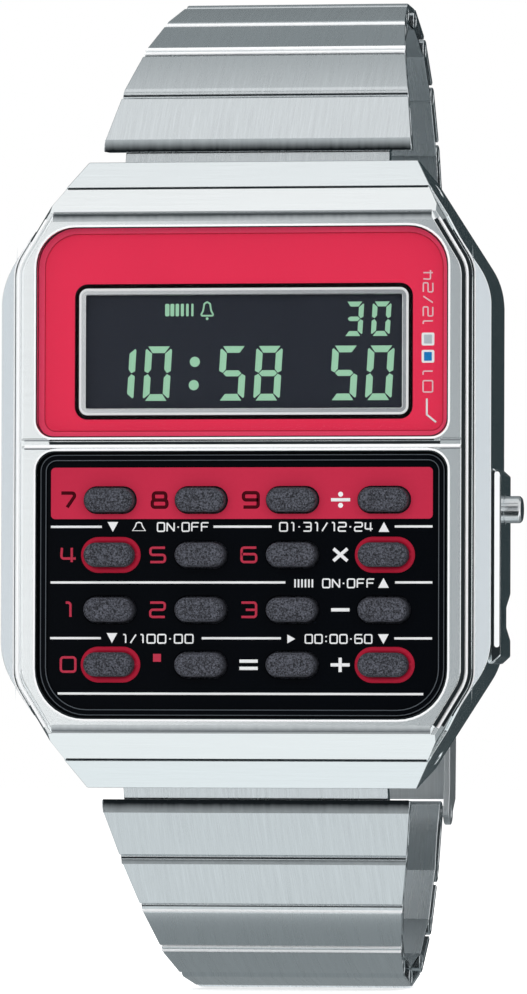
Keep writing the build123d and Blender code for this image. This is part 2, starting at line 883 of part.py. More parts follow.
def chain_points(tilts):
    """Pivots of one half of the bracelet, from the first roll to the last pivot."""
    points = [along((bar_end, bar_height), neck_tilt, neck_length)]
    for tilt in tilts:
        points.append(along(points[-1], tilt, link_pitch))
    return points


def link_plane(side, point, tilt):
    """Plane of a link's side profile: x along the link, y out from the wrist."""
    return Plane(
        origin=(0, -point[1], side * point[0]),
        x_dir=(0, sin(radians(tilt)), side * cos(radians(tilt))),
        z_dir=(side, 0, 0),
    )


bore_radius = bead_radius + bead_gap
tongue_angle = degrees(asin(tongue_sheet / 2 / bore_radius))


def shell_profile(length, bored=True):
    """Folded sheet of a link: flat cover, bowed inner sheet and the near roll."""
    with Locations((length / 2, roll_radius - cover_sheet / 2)):
        Rectangle(length, cover_sheet)
    with BuildLine() as bowed:
        for rise in (0, inner_sheet):
            ThreePointArc(
                (0, rise - roll_radius),
                (length / 2, rise - roll_radius - inner_bulge),
                (length, rise - roll_radius),
            )
        for station in (0, length):
            Line((station, -roll_radius), (station, inner_sheet - roll_radius))
    make_face(bowed.edges())
    Circle(roll_radius)
    if bored:
        Circle(bore_radius, mode=Mode.SUBTRACT)


def slot_wedge(turn):
    """Wedge that the neighbour's tongue sweeps as the hinge moves, seen from its axis."""
    reach = 2 * roll_radius
    first = 180 - back_bend - tongue_angle - slot_margin
    last = 180 + turn + tongue_angle + slot_margin
    rays = [radians(first), radians((first + last) / 2), radians(last)]
    Polygon((0, 0), *[(reach * cos(ray), reach * sin(ray)) for ray in rays], align=None)


def tongue_profile():
    """Tongue from the near roll to the bead at the far pivot."""
    start = (bore_radius + roll_radius) / 2
    with Locations(((start + link_pitch) / 2, 0)):
        Rectangle(link_pitch - start, tongue_sheet)
    with Locations((link_pitch, 0)):
        Circle(bead_radius)


def make_link(name, side, points, tilts, index):
    """One folded link, from pivot index to the next, tapered with the bracelet."""
    tilt = tilts[index]
    near, far = half_width(index), half_width(index + 1)
    last = index == link_count - 1
    plane = link_plane(side, points[index], tilt)
    plan = Plane(origin=plane.origin, x_dir=plane.x_dir, z_dir=plane.y_dir)
    spread = (near - far) * roll_radius / link_pitch
    with BuildPart() as link:
        with BuildSketch(plane):
            shell_profile(link_pitch, bored=index > 0)
            with Locations((link_pitch, 0)):
                Circle(roll_radius + link_gap, mode=Mode.SUBTRACT)
            with Locations((link_pitch, roll_radius)):
                Rectangle(2 * (roll_radius + link_gap), 2 * cover_sheet, mode=Mode.SUBTRACT)
        extrude(amount=near + spread, both=True)
        with BuildSketch(plan):
            Polygon(
                (-roll_radius, near + spread),
                (link_pitch, far),
                (link_pitch, -far),
                (-roll_radius, -near - spread),
                align=None,
            )
        extrude(amount=roll_radius, both=True, mode=Mode.INTERSECT)
        if index > 0:
            with BuildSketch(plane):
                slot_wedge(tilt - tilts[index - 1])
            extrude(amount=near - tongue_inset + slot_gap, both=True, mode=Mode.SUBTRACT)
        with BuildSketch(plane):
            tongue_profile()
        extrude(amount=far - tongue_inset, both=True)
        if last and side < 0:
            with BuildSketch(plane):
                shell_profile(link_pitch, bored=True)
                with Locations((link_pitch, 0)):
                    Circle(roll_radius)
            extrude(amount=far, both=True)
            with BuildSketch(plane):
                slot_wedge(tilt - tilts[index - 1])
            extrude(amount=near - tongue_inset + slot_gap, both=True, mode=Mode.SUBTRACT)
            with BuildSketch(plane):
                with Locations((link_pitch, 0)):
                    Circle(bead_radius)
            extrude(amount=cover_inner - pin_short, both=True)
        if index == 0:
            with BuildSketch(end_view(side)):
                with Locations((points[0][0] - roll_trim, points[0][1])):
                    Rectangle(overrun, overrun, align=(Align.MAX, Align.CENTER))
            extrude(amount=near + spread, both=True, mode=Mode.SUBTRACT)
            with BuildSketch(end_view(side)):
                middle = along((bar_end, bar_height), neck_tilt, neck_length / 2)
                with Locations(middle):
                    Rectangle(neck_length, neck_sheet, rotation=-neck_tilt)
                with Locations((bar_end, bar_height)):
                    Circle(bar_radius + bar_gap + barrel_wall)
                    Circle(bar_radius + bar_gap, mode=Mode.SUBTRACT)
            extrude(amount=lug_half - neck_side_gap, both=True)
    link.part.label = name
    export_step(link.part, f"parts/{name}.step")


cover_inner = narrow_link / 2 + cover_side_gap
upper_points = chain_points(upper_tilts)
lower_points = chain_points(lower_tilts)
for index in range(link_count):
    make_link(f"upper_link_{index + 1}", 1, upper_points, upper_tilts, index)
    make_link(f"lower_link_{index + 1}", -1, lower_points, lower_tilts, index)


# Clasp frame: x runs from the last upper pivot to the last lower pivot, y points outwards
clasp_top = upper_points[-1]
clasp_foot = lower_points[-1]
clasp_run = (clasp_foot[0] + clasp_top[0], clasp_top[1] - clasp_foot[1])
clasp_span = hypot(*clasp_run)
clasp_side = Plane(
    origin=(0, -clasp_top[1], clasp_top[0]),
    x_dir=(0, clasp_run[1] / clasp_span, -clasp_run[0] / clasp_span),
    z_dir=(1, 0, 0),
)
clasp_plan = Plane(origin=clasp_side.origin, x_dir=clasp_side.x_dir, z_dir=clasp_side.y_dir)
clasp_turn = degrees(atan2(clasp_run[1], -clasp_run[0])) - upper_tilts[-1]


def strip(start, end, low, high):
    """Rectangle in the open clasp sketch between two stations and two rises."""
    Polygon((start, low), (end, low), (end, high), (start, high), align=None)


# Ladder plate: a link like end on the last upper pivot and a slotted tongue
with BuildPart() as ladder_plate:
    with BuildSketch(clasp_side):
        shell_profile(exposed_ladder)
    extrude(amount=narrow_link / 2, both=True)
    with BuildSketch(clasp_side):
        slot_wedge(clasp_turn)
    extrude(amount=narrow_link / 2 - tongue_inset + slot_gap, both=True, mode=Mode.SUBTRACT)
    with BuildSketch(clasp_side):
        strip(
            exposed_ladder - cover_sheet,
            exposed_ladder,
            -roll_radius,
            roll_radius,
        )
        strip(roll_radius, ladder_length, -ladder_thickness / 2, ladder_thickness / 2)
        Circle((bore_radius + roll_radius) / 2, mode=Mode.SUBTRACT)
    extrude(amount=ladder_width / 2, both=True)
    with BuildSketch(clasp_plan):
        for rung in range(rung_count):
            with Locations((first_rung + rung * rung_pitch, 0)):
                Rectangle(rung_slot, rung_width)
    extrude(amount=ladder_thickness, both=True, mode=Mode.SUBTRACT)
ladder_plate.part.label = "ladder_plate"
export_step(ladder_plate.part, "parts/ladder_plate.step")


# Clasp base: a channel that slides on the ladder, with the blade's knuckles at its end
base_top = -ladder_thickness / 2 - base_floor_gap
base_bottom = base_top - base_sheet
rail_inner = ladder_width / 2 + base_side_gap
rail_outer = rail_inner + base_sheet
lip_floor = ladder_thickness / 2 + base_lip_gap
lip_top = lip_floor + base_lip_sheet
lever_end = lever_start + lever_length
with BuildPart() as clasp_base:
    with BuildSketch(clasp_side):
        strip(base_start, blade_pivot, base_bottom, base_top)
    extrude(amount=rail_outer, both=True)
    for edge in both_ends:
        with BuildSketch(clasp_side.offset(edge * (rail_inner + base_sheet / 2))):
            strip(base_start, blade_pivot, base_bottom, lip_top)
        extrude(amount=base_sheet / 2, both=True)
        with BuildSketch(clasp_side.offset(edge * (rail_outer - base_lip / 2))):
            strip(base_start, blade_pivot - 2 * knuckle_radius, lip_floor, lip_top)
        extrude(amount=base_lip / 2, both=True)
        knuckle_outer = rail_outer
        knuckle_inner = knuckle_width / 2 + knuckle_gap
        knuckle_middle = (knuckle_outer + knuckle_inner) / 2
        with BuildSketch(clasp_side.offset(edge * knuckle_middle)):
            with Locations((blade_pivot, blade_pivot_rise)):
                Circle(knuckle_radius)
            strip(blade_pivot - knuckle_radius, blade_pivot, base_bottom, blade_pivot_rise)
        extrude(amount=(knuckle_outer - knuckle_inner) / 2, both=True)
    with BuildSketch(clasp_side):
        with Locations((blade_pivot, blade_pivot_rise)):
            Circle(pin_radius)
    extrude(amount=rail_outer, both=True)
    with BuildSketch(clasp_plan):
        with Locations(((lever_start + lever_end - lever_knuckle_radius) / 2, 0)):
            Rectangle(
                lever_length + lever_knuckle_radius + 2 * lever_gap,
                lever_width + 2 * lever_gap,
            )
    extrude(amount=base_bottom - base_sheet, mode=Mode.SUBTRACT)
    with BuildSketch(clasp_side):
        with Locations((lever_start, base_bottom + lever_knuckle_radius)):
            Circle(lever_pin_radius)
    extrude(amount=lever_width / 2 + base_sheet, both=True)
clasp_base.part.label = "clasp_base"
export_step(clasp_base.part, "parts/clasp_base.step")


# Lock lever in the base's floor, whose foot rises into a slot of the ladder
lever_axis_rise = base_bottom + lever_knuckle_radius
with BuildPart() as lock_lever:
    with BuildSketch(clasp_side):
        with Locations((lever_start, lever_axis_rise)):
            Circle(lever_knuckle_radius)
        strip(lever_start, lever_end, base_bottom, base_bottom + lever_sheet)
        strip(
            first_rung + rung_pitch - lever_foot / 2,
            first_rung + rung_pitch + lever_foot / 2,
            base_bottom,
            -ladder_thickness / 2 - lever_foot_gap,
        )
        with Locations((lever_start, lever_axis_rise)):
            Circle(lever_pin_radius + pin_gap, mode=Mode.SUBTRACT)
    extrude(amount=lever_width / 2, both=True)
lock_lever.part.label = "lock_lever"
export_step(lock_lever.part, "parts/lock_lever.step")


# Folding blade between the base's pin and the cover's ears
blade_top = blade_lift + blade_sheet
with BuildPart() as clasp_blade:
    with BuildSketch(clasp_side):
        strip(fold_pivot, blade_pivot, blade_lift, blade_top)
    extrude(amount=blade_width / 2, both=True)
    with BuildSketch(clasp_plan):
        clear_start = blade_pivot - 2 * knuckle_radius
        for edge in both_ends:
            with Locations((clear_start + knuckle_radius * 2, edge * blade_width / 2)):
                Rectangle(4 * knuckle_radius, blade_width - knuckle_width)
    extrude(amount=blade_top, mode=Mode.SUBTRACT)
    with BuildSketch(clasp_side):
        with Locations((blade_pivot, blade_pivot_rise)):
            Circle(knuckle_radius)
        strip(
            blade_pivot - knuckle_radius,
            blade_pivot,
            blade_pivot_rise,
            blade_top,
        )
        with Locations((blade_pivot, blade_pivot_rise)):
            Circle(pin_radius + pin_gap, mode=Mode.SUBTRACT)
    extrude(amount=knuckle_width / 2, both=True)
    with BuildSketch(clasp_side):
        with Locations((fold_pivot, fold_rise)):
            Circle(fold_knuckle_radius)
    extrude(amount=blade_width / 2, both=True)
    with BuildSketch(clasp_side):
        with Locations((fold_pivot, fold_rise)):
            Circle(pin_radius)
    extrude(amount=blade_width / 2 + ear_gap + ear_width, both=True)
clasp_blade.part.label = "clasp_blade"
export_step(clasp_blade.part, "parts/clasp_blade.step")


# Clasp cover: crowned outer plate, side walls and two ears on the fold pivot
cover_end = clasp_span - roll_radius - cover_end_gap
cover_half = cover_inner + cover_side_sheet
cover_middle = (cover_start + cover_end) / 2
with BuildPart() as clasp_cover:
    with BuildSketch(clasp_side):
        with BuildLine():
            ThreePointArc(
                (cover_start, cover_rise + cover_plate),
                (cover_middle, cover_rise + cover_plate + cover_crown),
                (cover_end, cover_rise + cover_plate),
            )
            Polyline(
                (cover_end, cover_rise + cover_plate),
                (cover_end, -cover_side_drop),
                (cover_start, -cover_side_drop),
                (cover_start, cover_rise + cover_plate),
            )
        make_face()
    extrude(amount=cover_half, both=True)
    with BuildSketch(clasp_side):
        with BuildLine():
            ThreePointArc(
                (cover_start, cover_rise),
                (cover_middle, cover_rise + cover_crown),
                (cover_end, cover_rise),
            )
            Polyline(
                (cover_end, cover_rise),
                (cover_end, -cover_side_drop),
                (cover_start, -cover_side_drop),
                (cover_start, cover_rise),
            )
        make_face()
    extrude(amount=cover_inner, both=True, mode=Mode.SUBTRACT)
    for edge in both_ends:
        ear_middle = blade_width / 2 + ear_gap + ear_width / 2
        with BuildSketch(clasp_side.offset(edge * ear_middle)):
            with Locations((fold_pivot, fold_rise)):
                Circle(fold_knuckle_radius)
            strip(
                fold_pivot - fold_knuckle_radius,
                fold_pivot + fold_knuckle_radius,
                fold_rise,
                cover_rise + cover_plate / 2,
            )
            with Locations((fold_pivot, fold_rise)):
                Circle(pin_radius + pin_gap, mode=Mode.SUBTRACT)
        extrude(amount=ear_width / 2, both=True)
        with BuildSketch(clasp_side.offset(edge * (cover_inner + cover_side_sheet / 2))):
            with Locations((clasp_span, 0)):
                Circle(hinge_ear)
            Polygon(
                (cover_end - hinge_ear, -cover_side_drop),
                (clasp_span, -hinge_ear),
                (clasp_span, hinge_ear),
                (cover_end, cover_rise + cover_plate),
                (cover_end - hinge_ear, cover_rise + cover_plate),
                align=None,
            )
        extrude(amount=cover_side_sheet / 2, both=True)
    with BuildSketch(clasp_side):
        with Locations((clasp_span, 0)):
            Circle(bead_radius + cover_hole_gap)
    extrude(amount=cover_half, both=True, mode=Mode.SUBTRACT)
clasp_cover.part.label = "clasp_cover"
export_step(clasp_cover.part, "parts/clasp_cover.step")


def world(point):
    """Clasp station and rise as Y and Z in the watch's own frame."""
    spot = clasp_side.from_local_coords(Vector(*point))
    return round(spot.Y, 3), round(spot.Z, 3)


print("spring bar pivots y, z:", -bar_height, bar_end)
for label, sign, points in (("upper", 1, upper_points), ("lower", -1, lower_points)):
    print(label, "pivots y, z:", [(round(-h, 3), round(sign * z, 3)) for z, h in points[1:]])
print("clasp span:", round(clasp_span, 3), "turn:", round(clasp_turn, 2))
print("clasp direction y, z:", clasp_side.x_dir.Y, clasp_side.x_dir.Z)
print("blade pivot y, z:", world((blade_pivot, blade_pivot_rise)))
print("fold pivot y, z:", world((fold_pivot, fold_rise)))
print("lever pivot y, z:", world((lever_start, lever_axis_rise)))
print("travels:", (key_travel, mode_travel, adjust_travel, base_travel))
print("rest turns:", [round(b - a, 1) for a, b in zip(upper_tilts, upper_tilts[1:])])
print("rest turns:", [round(b - a, 1) for a, b in zip(lower_tilts, lower_tilts[1:])])
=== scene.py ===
"""Calculator wristwatch on a folded link bracelet, dressed for the photographed view.

The packed model gives every rigid piece its place. This file gives the pieces their
finishes and softened edges, and adds the printed marks, the display's segments, the
floor, the light and the camera. Names that end in _mm are millimetres, and everything
that Blender gets is in metres, in the packed model's own frame: the dial faces -Y and
12 o'clock is +Z.
"""
import json
import logging
import math
from dataclasses import dataclass, fields
from enum import Enum
from typing import Any, NamedTuple, Sequence

import bmesh
import bpy
from mathutils import Matrix, Vector

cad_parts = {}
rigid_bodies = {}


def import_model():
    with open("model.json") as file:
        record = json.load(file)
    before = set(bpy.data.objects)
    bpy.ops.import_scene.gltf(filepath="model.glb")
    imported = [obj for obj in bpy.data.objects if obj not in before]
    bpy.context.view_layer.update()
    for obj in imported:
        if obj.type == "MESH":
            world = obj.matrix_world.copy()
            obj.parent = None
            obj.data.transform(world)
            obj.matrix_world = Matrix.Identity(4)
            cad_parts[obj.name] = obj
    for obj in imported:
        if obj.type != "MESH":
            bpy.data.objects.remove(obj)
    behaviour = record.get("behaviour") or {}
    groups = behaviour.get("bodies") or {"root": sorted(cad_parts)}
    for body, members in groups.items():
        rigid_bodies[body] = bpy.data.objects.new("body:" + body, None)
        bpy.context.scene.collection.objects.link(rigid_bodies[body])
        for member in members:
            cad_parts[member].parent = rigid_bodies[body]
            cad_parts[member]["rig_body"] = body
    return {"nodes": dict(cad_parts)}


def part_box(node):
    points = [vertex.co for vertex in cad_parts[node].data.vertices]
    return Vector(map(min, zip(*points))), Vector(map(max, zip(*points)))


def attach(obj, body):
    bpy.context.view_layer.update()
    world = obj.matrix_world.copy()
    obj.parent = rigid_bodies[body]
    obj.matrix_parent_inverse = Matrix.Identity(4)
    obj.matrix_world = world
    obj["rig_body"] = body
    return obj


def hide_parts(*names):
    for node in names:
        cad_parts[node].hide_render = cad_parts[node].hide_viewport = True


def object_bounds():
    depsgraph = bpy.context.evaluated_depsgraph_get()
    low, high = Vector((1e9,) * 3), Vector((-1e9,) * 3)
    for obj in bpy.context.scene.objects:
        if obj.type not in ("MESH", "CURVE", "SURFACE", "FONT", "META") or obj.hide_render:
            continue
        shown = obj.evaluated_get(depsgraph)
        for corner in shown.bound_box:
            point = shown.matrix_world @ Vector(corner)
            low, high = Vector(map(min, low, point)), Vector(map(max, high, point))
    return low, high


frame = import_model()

MM = 0.001
CAD_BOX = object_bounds()
LOG = logging.getLogger("watch")

Point = tuple[float, float]
Triple = tuple[float, float, float]
Colour = tuple[float, float, float, float]
Box = tuple[float, float, float, float]

# Thickness of prints and painted lines, and of a line that lies over another form
INK_MM = 0.02
FILM_MM = 0.012
# Distance within which two points of a drawn or of a packed mesh are one
DRAWN_MERGE_MM = 0.0002
PACKED_MERGE_MM = 0.0005
# Bend up to which two faces of a packed mesh are one
FLAT_DEG = 0.6
CORNER_STEPS = 10
# Inputs of a Mix node for its share and its two colours, and its colour output
MIX_SHARE, MIX_FIRST, MIX_SECOND, MIX_RESULT = 0, 6, 7, 2


class Axis(Enum):
    """Directions along which a metal is brushed, 0 for X, 1 for Y and 2 for Z."""

    ACROSS = (0,)
    UPRIGHT = (2,)
    CHAIN = (1, 2)


class Path(NamedTuple):
    """Points that a pen follows, and whether it ends where it starts."""

    points: Sequence[Point]
    closed: bool = False


# Colours and sockets


def paint(code: str) -> Colour:
    """Turns a written colour into Blender's linear values, by the curve of screen colours.

    Args:
        code: Six hexadecimal digits, red first.

    Returns:
        Linear red, green, blue and an opaque alpha.
    """
    parts = [int(code[i : i + 2], 16) / 255 for i in (0, 2, 4)]
    linear = [p / 12.92 if p <= 0.04045 else ((p + 0.055) / 1.055) ** 2.4 for p in parts]
    return (linear[0], linear[1], linear[2], 1.0)


class Signal:
    """A number on a node socket, for use in Python expressions."""

    def __init__(self, bench: "NodeBench", socket: bpy.types.NodeSocket) -> None:
        """Keeps the socket and the bench that adds its nodes."""
        self.bench = bench
        self.socket = socket

    def _math(self, operation: str, first: Any, second: Any) -> "Signal":
        """Adds one Math node.

        Args:
            operation: The node's operation.
            first: Number or signal of the first input.
            second: Number or signal of the second input.

        Returns:
            The node's result.
        """
        made = self.bench.node("ShaderNodeMath", {"operation": operation}, {0: first, 1: second})
        return Signal(self.bench, made.outputs[0])

    def __add__(self, other: Any) -> "Signal":
        """Sum."""
        return self._math("ADD", self, other)

    def __radd__(self, other: Any) -> "Signal":
        """Sum with the number on the left."""
        return self._math("ADD", other, self)

    def __sub__(self, other: Any) -> "Signal":
        """Difference."""
        return self._math("SUBTRACT", self, other)

    def __rsub__(self, other: Any) -> "Signal":
        """Difference with the number on the left."""
        return self._math("SUBTRACT", other, self)

    def __mul__(self, other: Any) -> "Signal":
        """Product."""
        return self._math("MULTIPLY", self, other)

    def __rmul__(self, other: Any) -> "Signal":
        """Product with the number on the left."""
        return self._math("MULTIPLY", other, self)

    def __truediv__(self, other: Any) -> "Signal":
        """Quotient."""
        return self._math("DIVIDE", self, other)

    def __rtruediv__(self, other: Any) -> "Signal":
        """Quotient with the number on the left."""
        return self._math("DIVIDE", other, self)

    def __gt__(self, other: Any) -> "Signal":
        """1 where the signal is over the other value, else 0."""
        return self._math("GREATER_THAN", self, other)

    def __lt__(self, other: Any) -> "Signal":
        """1 where the signal is under the other value, else 0."""
        return self._math("LESS_THAN", self, other)

    def ramp(self, low: float, high: float) -> "Signal":
        """Rises smoothly from 0 to 1.

        Args:
            low: Value up to which the result is 0.
            high: Value from which it is 1.

        Returns:
            The result.
        """
        made = self.bench.node(
            "ShaderNodeMapRange",
            {"interpolation_type": "SMOOTHSTEP"},
            {"Value": self, "From Min": low, "From Max": high},
        )
        return Signal(self.bench, made.outputs[0])


class NodeBench:
    """Adds nodes to one tree, each by the same method."""

    def __init__(self, tree: bpy.types.NodeTree) -> None:
        """Keeps the tree that is being built."""
        self.tree = tree

    def node(
        self,
        kind: str,
        settings: dict[str, Any] | None = None,
        feeds: dict[int | str, Any] | None = None,
    ) -> bpy.types.Node:
        """Adds one node, sets its options and then feeds its sockets.

        Args:
            kind: The node's type name.
            settings: The node's own options by name.
            feeds: A value, a socket or a signal for each named or numbered input.

        Returns:
            The new node.
        """
        made = self.tree.nodes.new(kind)
        for option, value in (settings or {}).items():
            setattr(made, option, value)
        for key, value in (feeds or {}).items():
            self.feed(made.inputs[key], value)
        return made

    def feed(self, socket: bpy.types.NodeSocket, value: Any) -> None:
        """Links a signal or socket to an input, or sets the input's own value.

        Args:
            socket: The input.
            value: A signal, a socket or a plain value.
        """
        if isinstance(value, Signal):
            self.tree.links.new(value.socket, socket)
        elif isinstance(value, bpy.types.NodeSocket):
            self.tree.links.new(value, socket)
        else:
            socket.default_value = value


class FinishBench(NodeBench):
    """The shader tree of one finish."""

    def __init__(self, name: str) -> None:
        """Starts a material with an empty tree.

        Args:
            name: The material's name.
        """
        self.material = bpy.data.materials.new(name)
        self.material.use_nodes = True
        super().__init__(self.material.node_tree)
        self.tree.nodes.clear()

    def place(self, repeats_per_mm: Triple) -> bpy.types.NodeSocket:
        """Object coordinates scaled so that one unit is one repeat.

        Args:
            repeats_per_mm: Repeats in a millimetre along X, Y and Z.

        Returns:
            The scaled coordinates.
        """
        spot = self.node("ShaderNodeTexCoord")
        scale = [repeats / MM for repeats in repeats_per_mm]
        feeds = {"Vector": spot.outputs["Object"], "Scale": scale}
        made = self.node("ShaderNodeMapping", {}, feeds)
        return made.outputs[0]

    def along(self, axis: int) -> Signal:
        """One Object coordinate in millimetres, 0 for X, 1 for Y and 2 for Z."""
        parts = self.node("ShaderNodeSeparateXYZ", {}, {0: self.place((1, 1, 1))})
        return Signal(self, parts.outputs[axis])

    def noise(self, repeats_per_mm: Triple, detail: float = 2.0, rough: float = 0.5) -> Signal:
        """Soft noise between 0 and 1.

        Args:
            repeats_per_mm: Grain along X, Y and Z.
            detail: Octaves of finer noise.
            rough: Share of each finer octave.

        Returns:
            The noise value.
        """
        place = self.place(repeats_per_mm)
        feeds = {"Vector": place, "Scale": 1.0, "Detail": detail, "Roughness": rough}
        return Signal(self, self.node("ShaderNodeTexNoise", {}, feeds).outputs["Fac"])

    def cells(self, repeats_per_mm: Triple) -> Signal:
        """Distance to the nearest of many scattered points."""
        feeds = {"Vector": self.place(repeats_per_mm), "Scale": 1.0}
        made = self.node("ShaderNodeTexVoronoi", {}, feeds)
        return Signal(self, made.outputs["Distance"])

    def blend(self, share: Any, first: Any, second: Any) -> bpy.types.NodeSocket:
        """Colour between two others.

        Args:
            share: 0 for the first colour and 1 for the second.
            first: A colour or a socket.
            second: A colour or a socket.

        Returns:
            The mixed colour.
        """
        feeds = {MIX_SHARE: share, MIX_FIRST: first, MIX_SECOND: second}
        made = self.node("ShaderNodeMix", {"data_type": "RGBA"}, feeds)
        return made.outputs[MIX_RESULT]

    def bump(self, height: Signal, depth_mm: float) -> bpy.types.NodeSocket:
        """Surface normal of a relief of that depth."""
        made = self.node("ShaderNodeBump", {}, {"Distance": depth_mm * MM, "Height": height})
        return made.outputs[0]

    def close(self, feeds: dict[str, Any]) -> bpy.types.Material:
        """Ends the tree in one Principled shader.

        Args:
            feeds: Values and links of the shader's sockets.

        Returns:
            The finished material.
        """
        shader = self.node("ShaderNodeBsdfPrincipled", {}, feeds)
        self.node("ShaderNodeOutputMaterial", {}, {"Surface": shader.outputs[0]})
        return self.material


# Finishes


def even(repeats: float) -> Triple:
    """The same grain along X, Y and Z."""
    return (repeats, repeats, repeats)


def dimmed(code: str, share: float) -> Colour:
    """A written colour at a share of its strength."""
    red, green, blue, alpha = paint(code)
    return (share * red, share * green, share * blue, alpha)


@dataclass(frozen=True)
class BrushedMetal:
    """Steel drawn over a belt, with fine streaks along one direction."""

    name: str
    tone: str
    axis: Axis
    roughness: float = 0.3
    streak: float = 0.12
    relief_mm: float = 0.004
    contrast: float = 0.25
    fine_per_mm: float = 16.0
    long_per_mm: float = 0.35
    broad_share: float = 0.22
    fine_weight: float = 0.65
    dark_mark: float = 0.32
    tone_slope: float = 2.6

    def make(self) -> bpy.types.Material:
        """Builds the material.

        Returns:
            The brushed steel.
        """
        bench = FinishBench(self.name)
        grain = [self.fine_per_mm] * 3
        for direction in self.axis.value:
            grain[direction] = self.long_per_mm
        streaks = bench.noise(tuple(grain), detail=3.0, rough=0.65)
        broad = bench.noise(tuple(self.broad_share * repeats for repeats in grain))
        mark = streaks * self.fine_weight + broad * (1 - self.fine_weight)
        share = (mark - self.dark_mark) * self.tone_slope
        dark = dimmed(self.tone, 1 - self.contrast)
        return bench.close(
            {
                "Base Color": bench.blend(share, dark, paint(self.tone)),
                "Metallic": 1.0,
                "Roughness": self.roughness + (0.5 - mark) * self.streak * 2,
                "Normal": bench.bump(mark, self.relief_mm),
            }
        )


@dataclass(frozen=True)
class PolishedMetal:
    """Plated metal with a clear shine and faint uneven polish."""

    name: str
    tone: str
    roughness: float = 0.12
    cloud: float = 0.05
    cloud_per_mm: float = 0.5
    soft_share: float = 0.9
    relief_mm: float = 0.002

    def make(self) -> bpy.types.Material:
        """Builds the material.

        Returns:
            The polished metal.
        """
        bench = FinishBench(self.name)
        cloud = bench.noise(even(self.cloud_per_mm), detail=3.0)
        soft = dimmed(self.tone, self.soft_share)
        return bench.close(
            {
                "Base Color": bench.blend(cloud, soft, paint(self.tone)),
                "Metallic": 1.0,
                "Roughness": self.roughness + (cloud - 0.5) * self.cloud,
                "Normal": bench.bump(cloud, self.relief_mm),
            }
        )


@dataclass(frozen=True)
class PrintAndPaintedLight:
    """Flat printed colour with the slight grain of screen printing."""

    name: str
    tone: str
    deep: str
    roughness: float = 0.4
    shine: float = 0.06
    grain_per_mm: float = 6.0
    broad_per_mm: float = 0.08
    grain_weight: float = 0.35
    relief_mm: float = 0.001

    def make(self) -> bpy.types.Material:
        """Builds the material.

        Returns:
            The ink.
        """
        bench = FinishBench(self.name)
        grain = bench.noise(even(self.grain_per_mm))
        broad = bench.noise(even(self.broad_per_mm), detail=1.0)
        share = grain * self.grain_weight + broad * (1 - self.grain_weight)
        return bench.close(
            {
                "Base Color": bench.blend(share, paint(self.deep), paint(self.tone)),
                "Roughness": self.roughness,
                "Specular IOR Level": self.shine,
                "Normal": bench.bump(grain, self.relief_mm),
            }
        )


@dataclass(frozen=True)
class FoldShade:
    """Light and shade beside a fold of the sheet, from the fold's tone to the face's."""

    name: str
    fold_tone: str
    face_tone: str
    fold_mm: float
    face_mm: float
    roughness: float = 0.4
    shine: float = 0.06
    grain_per_mm: Triple = (3.0, 0.4, 0.4)
    mottle: float = 0.3
    relief_mm: float = 0.001

    def make(self) -> bpy.types.Material:
        """Builds the material.

        Returns:
            The shaded steel.
        """
        bench = FinishBench(self.name)
        grain = bench.noise(self.grain_per_mm)
        share = (bench.along(2) - self.fold_mm) / (self.face_mm - self.fold_mm)
        share = share + (grain - 0.5) * self.mottle
        return bench.close(
            {
                "Base Color": bench.blend(share, paint(self.fold_tone), paint(self.face_tone)),
                "Roughness": self.roughness,
                "Specular IOR Level": self.shine,
                "Normal": bench.bump(grain, self.relief_mm),
            }
        )


@dataclass(frozen=True)
class GlossPlate:
    """Hard plastic with a clear gloss and fine dust in it."""

    name: str
    tone: str
    speck: str
    roughness: float = 0.16
    shine: float = 0.12
    dust_per_mm: float = 14.0
    dust_range: Point = (0.56, 0.72)
    dust_weight: float = 0.5
    haze_per_mm: float = 0.15
    haze_weight: float = 0.08
    relief_mm: float = 0.003

    def make(self) -> bpy.types.Material:
        """Builds the material.

        Returns:
            The glossy plastic.
        """
        bench = FinishBench(self.name)
        dust = bench.noise(even(self.dust_per_mm)).ramp(*self.dust_range)
        haze = bench.noise(even(self.haze_per_mm))
        share = dust * self.dust_weight
        return bench.close(
            {
                "Base Color": bench.blend(share, paint(self.tone), paint(self.speck)),
                "Roughness": self.roughness + haze * self.haze_weight,
                "Specular IOR Level": self.shine,
                "Normal": bench.bump(haze, self.relief_mm),
            }
        )


@dataclass(frozen=True)
class SpeckledRubber:
    """Grey rubber moulded against a sand blasted tool."""

    name: str
    tone: str
    speck: str
    roughness: float = 0.62
    relief_mm: float = 0.012
    shine: float = 0.25
    grit_per_mm: float = 9.0
    grit_range: Point = (0.38, 0.66)
    grit_weight: float = 0.75
    spots_per_mm: float = 8.0
    spot_range: Point = (0.15, 0.5)
    rough_spread: float = 0.3

    def make(self) -> bpy.types.Material:
        """Builds the material.

        Returns:
            The rubber.
        """
        bench = FinishBench(self.name)
        grit = bench.noise(even(self.grit_per_mm), detail=3.0, rough=0.75)
        spots = 1 - bench.cells(even(self.spots_per_mm)).ramp(*self.spot_range)
        specks = grit.ramp(*self.grit_range)
        share = specks * self.grit_weight + spots * (1 - self.grit_weight)
        return bench.close(
            {
                "Base Color": bench.blend(share, paint(self.tone), paint(self.speck)),
                "Roughness": self.roughness + (grit - 0.5) * self.rough_spread,
                "Specular IOR Level": self.shine,
                "Normal": bench.bump(grit, self.relief_mm),
            }
        )


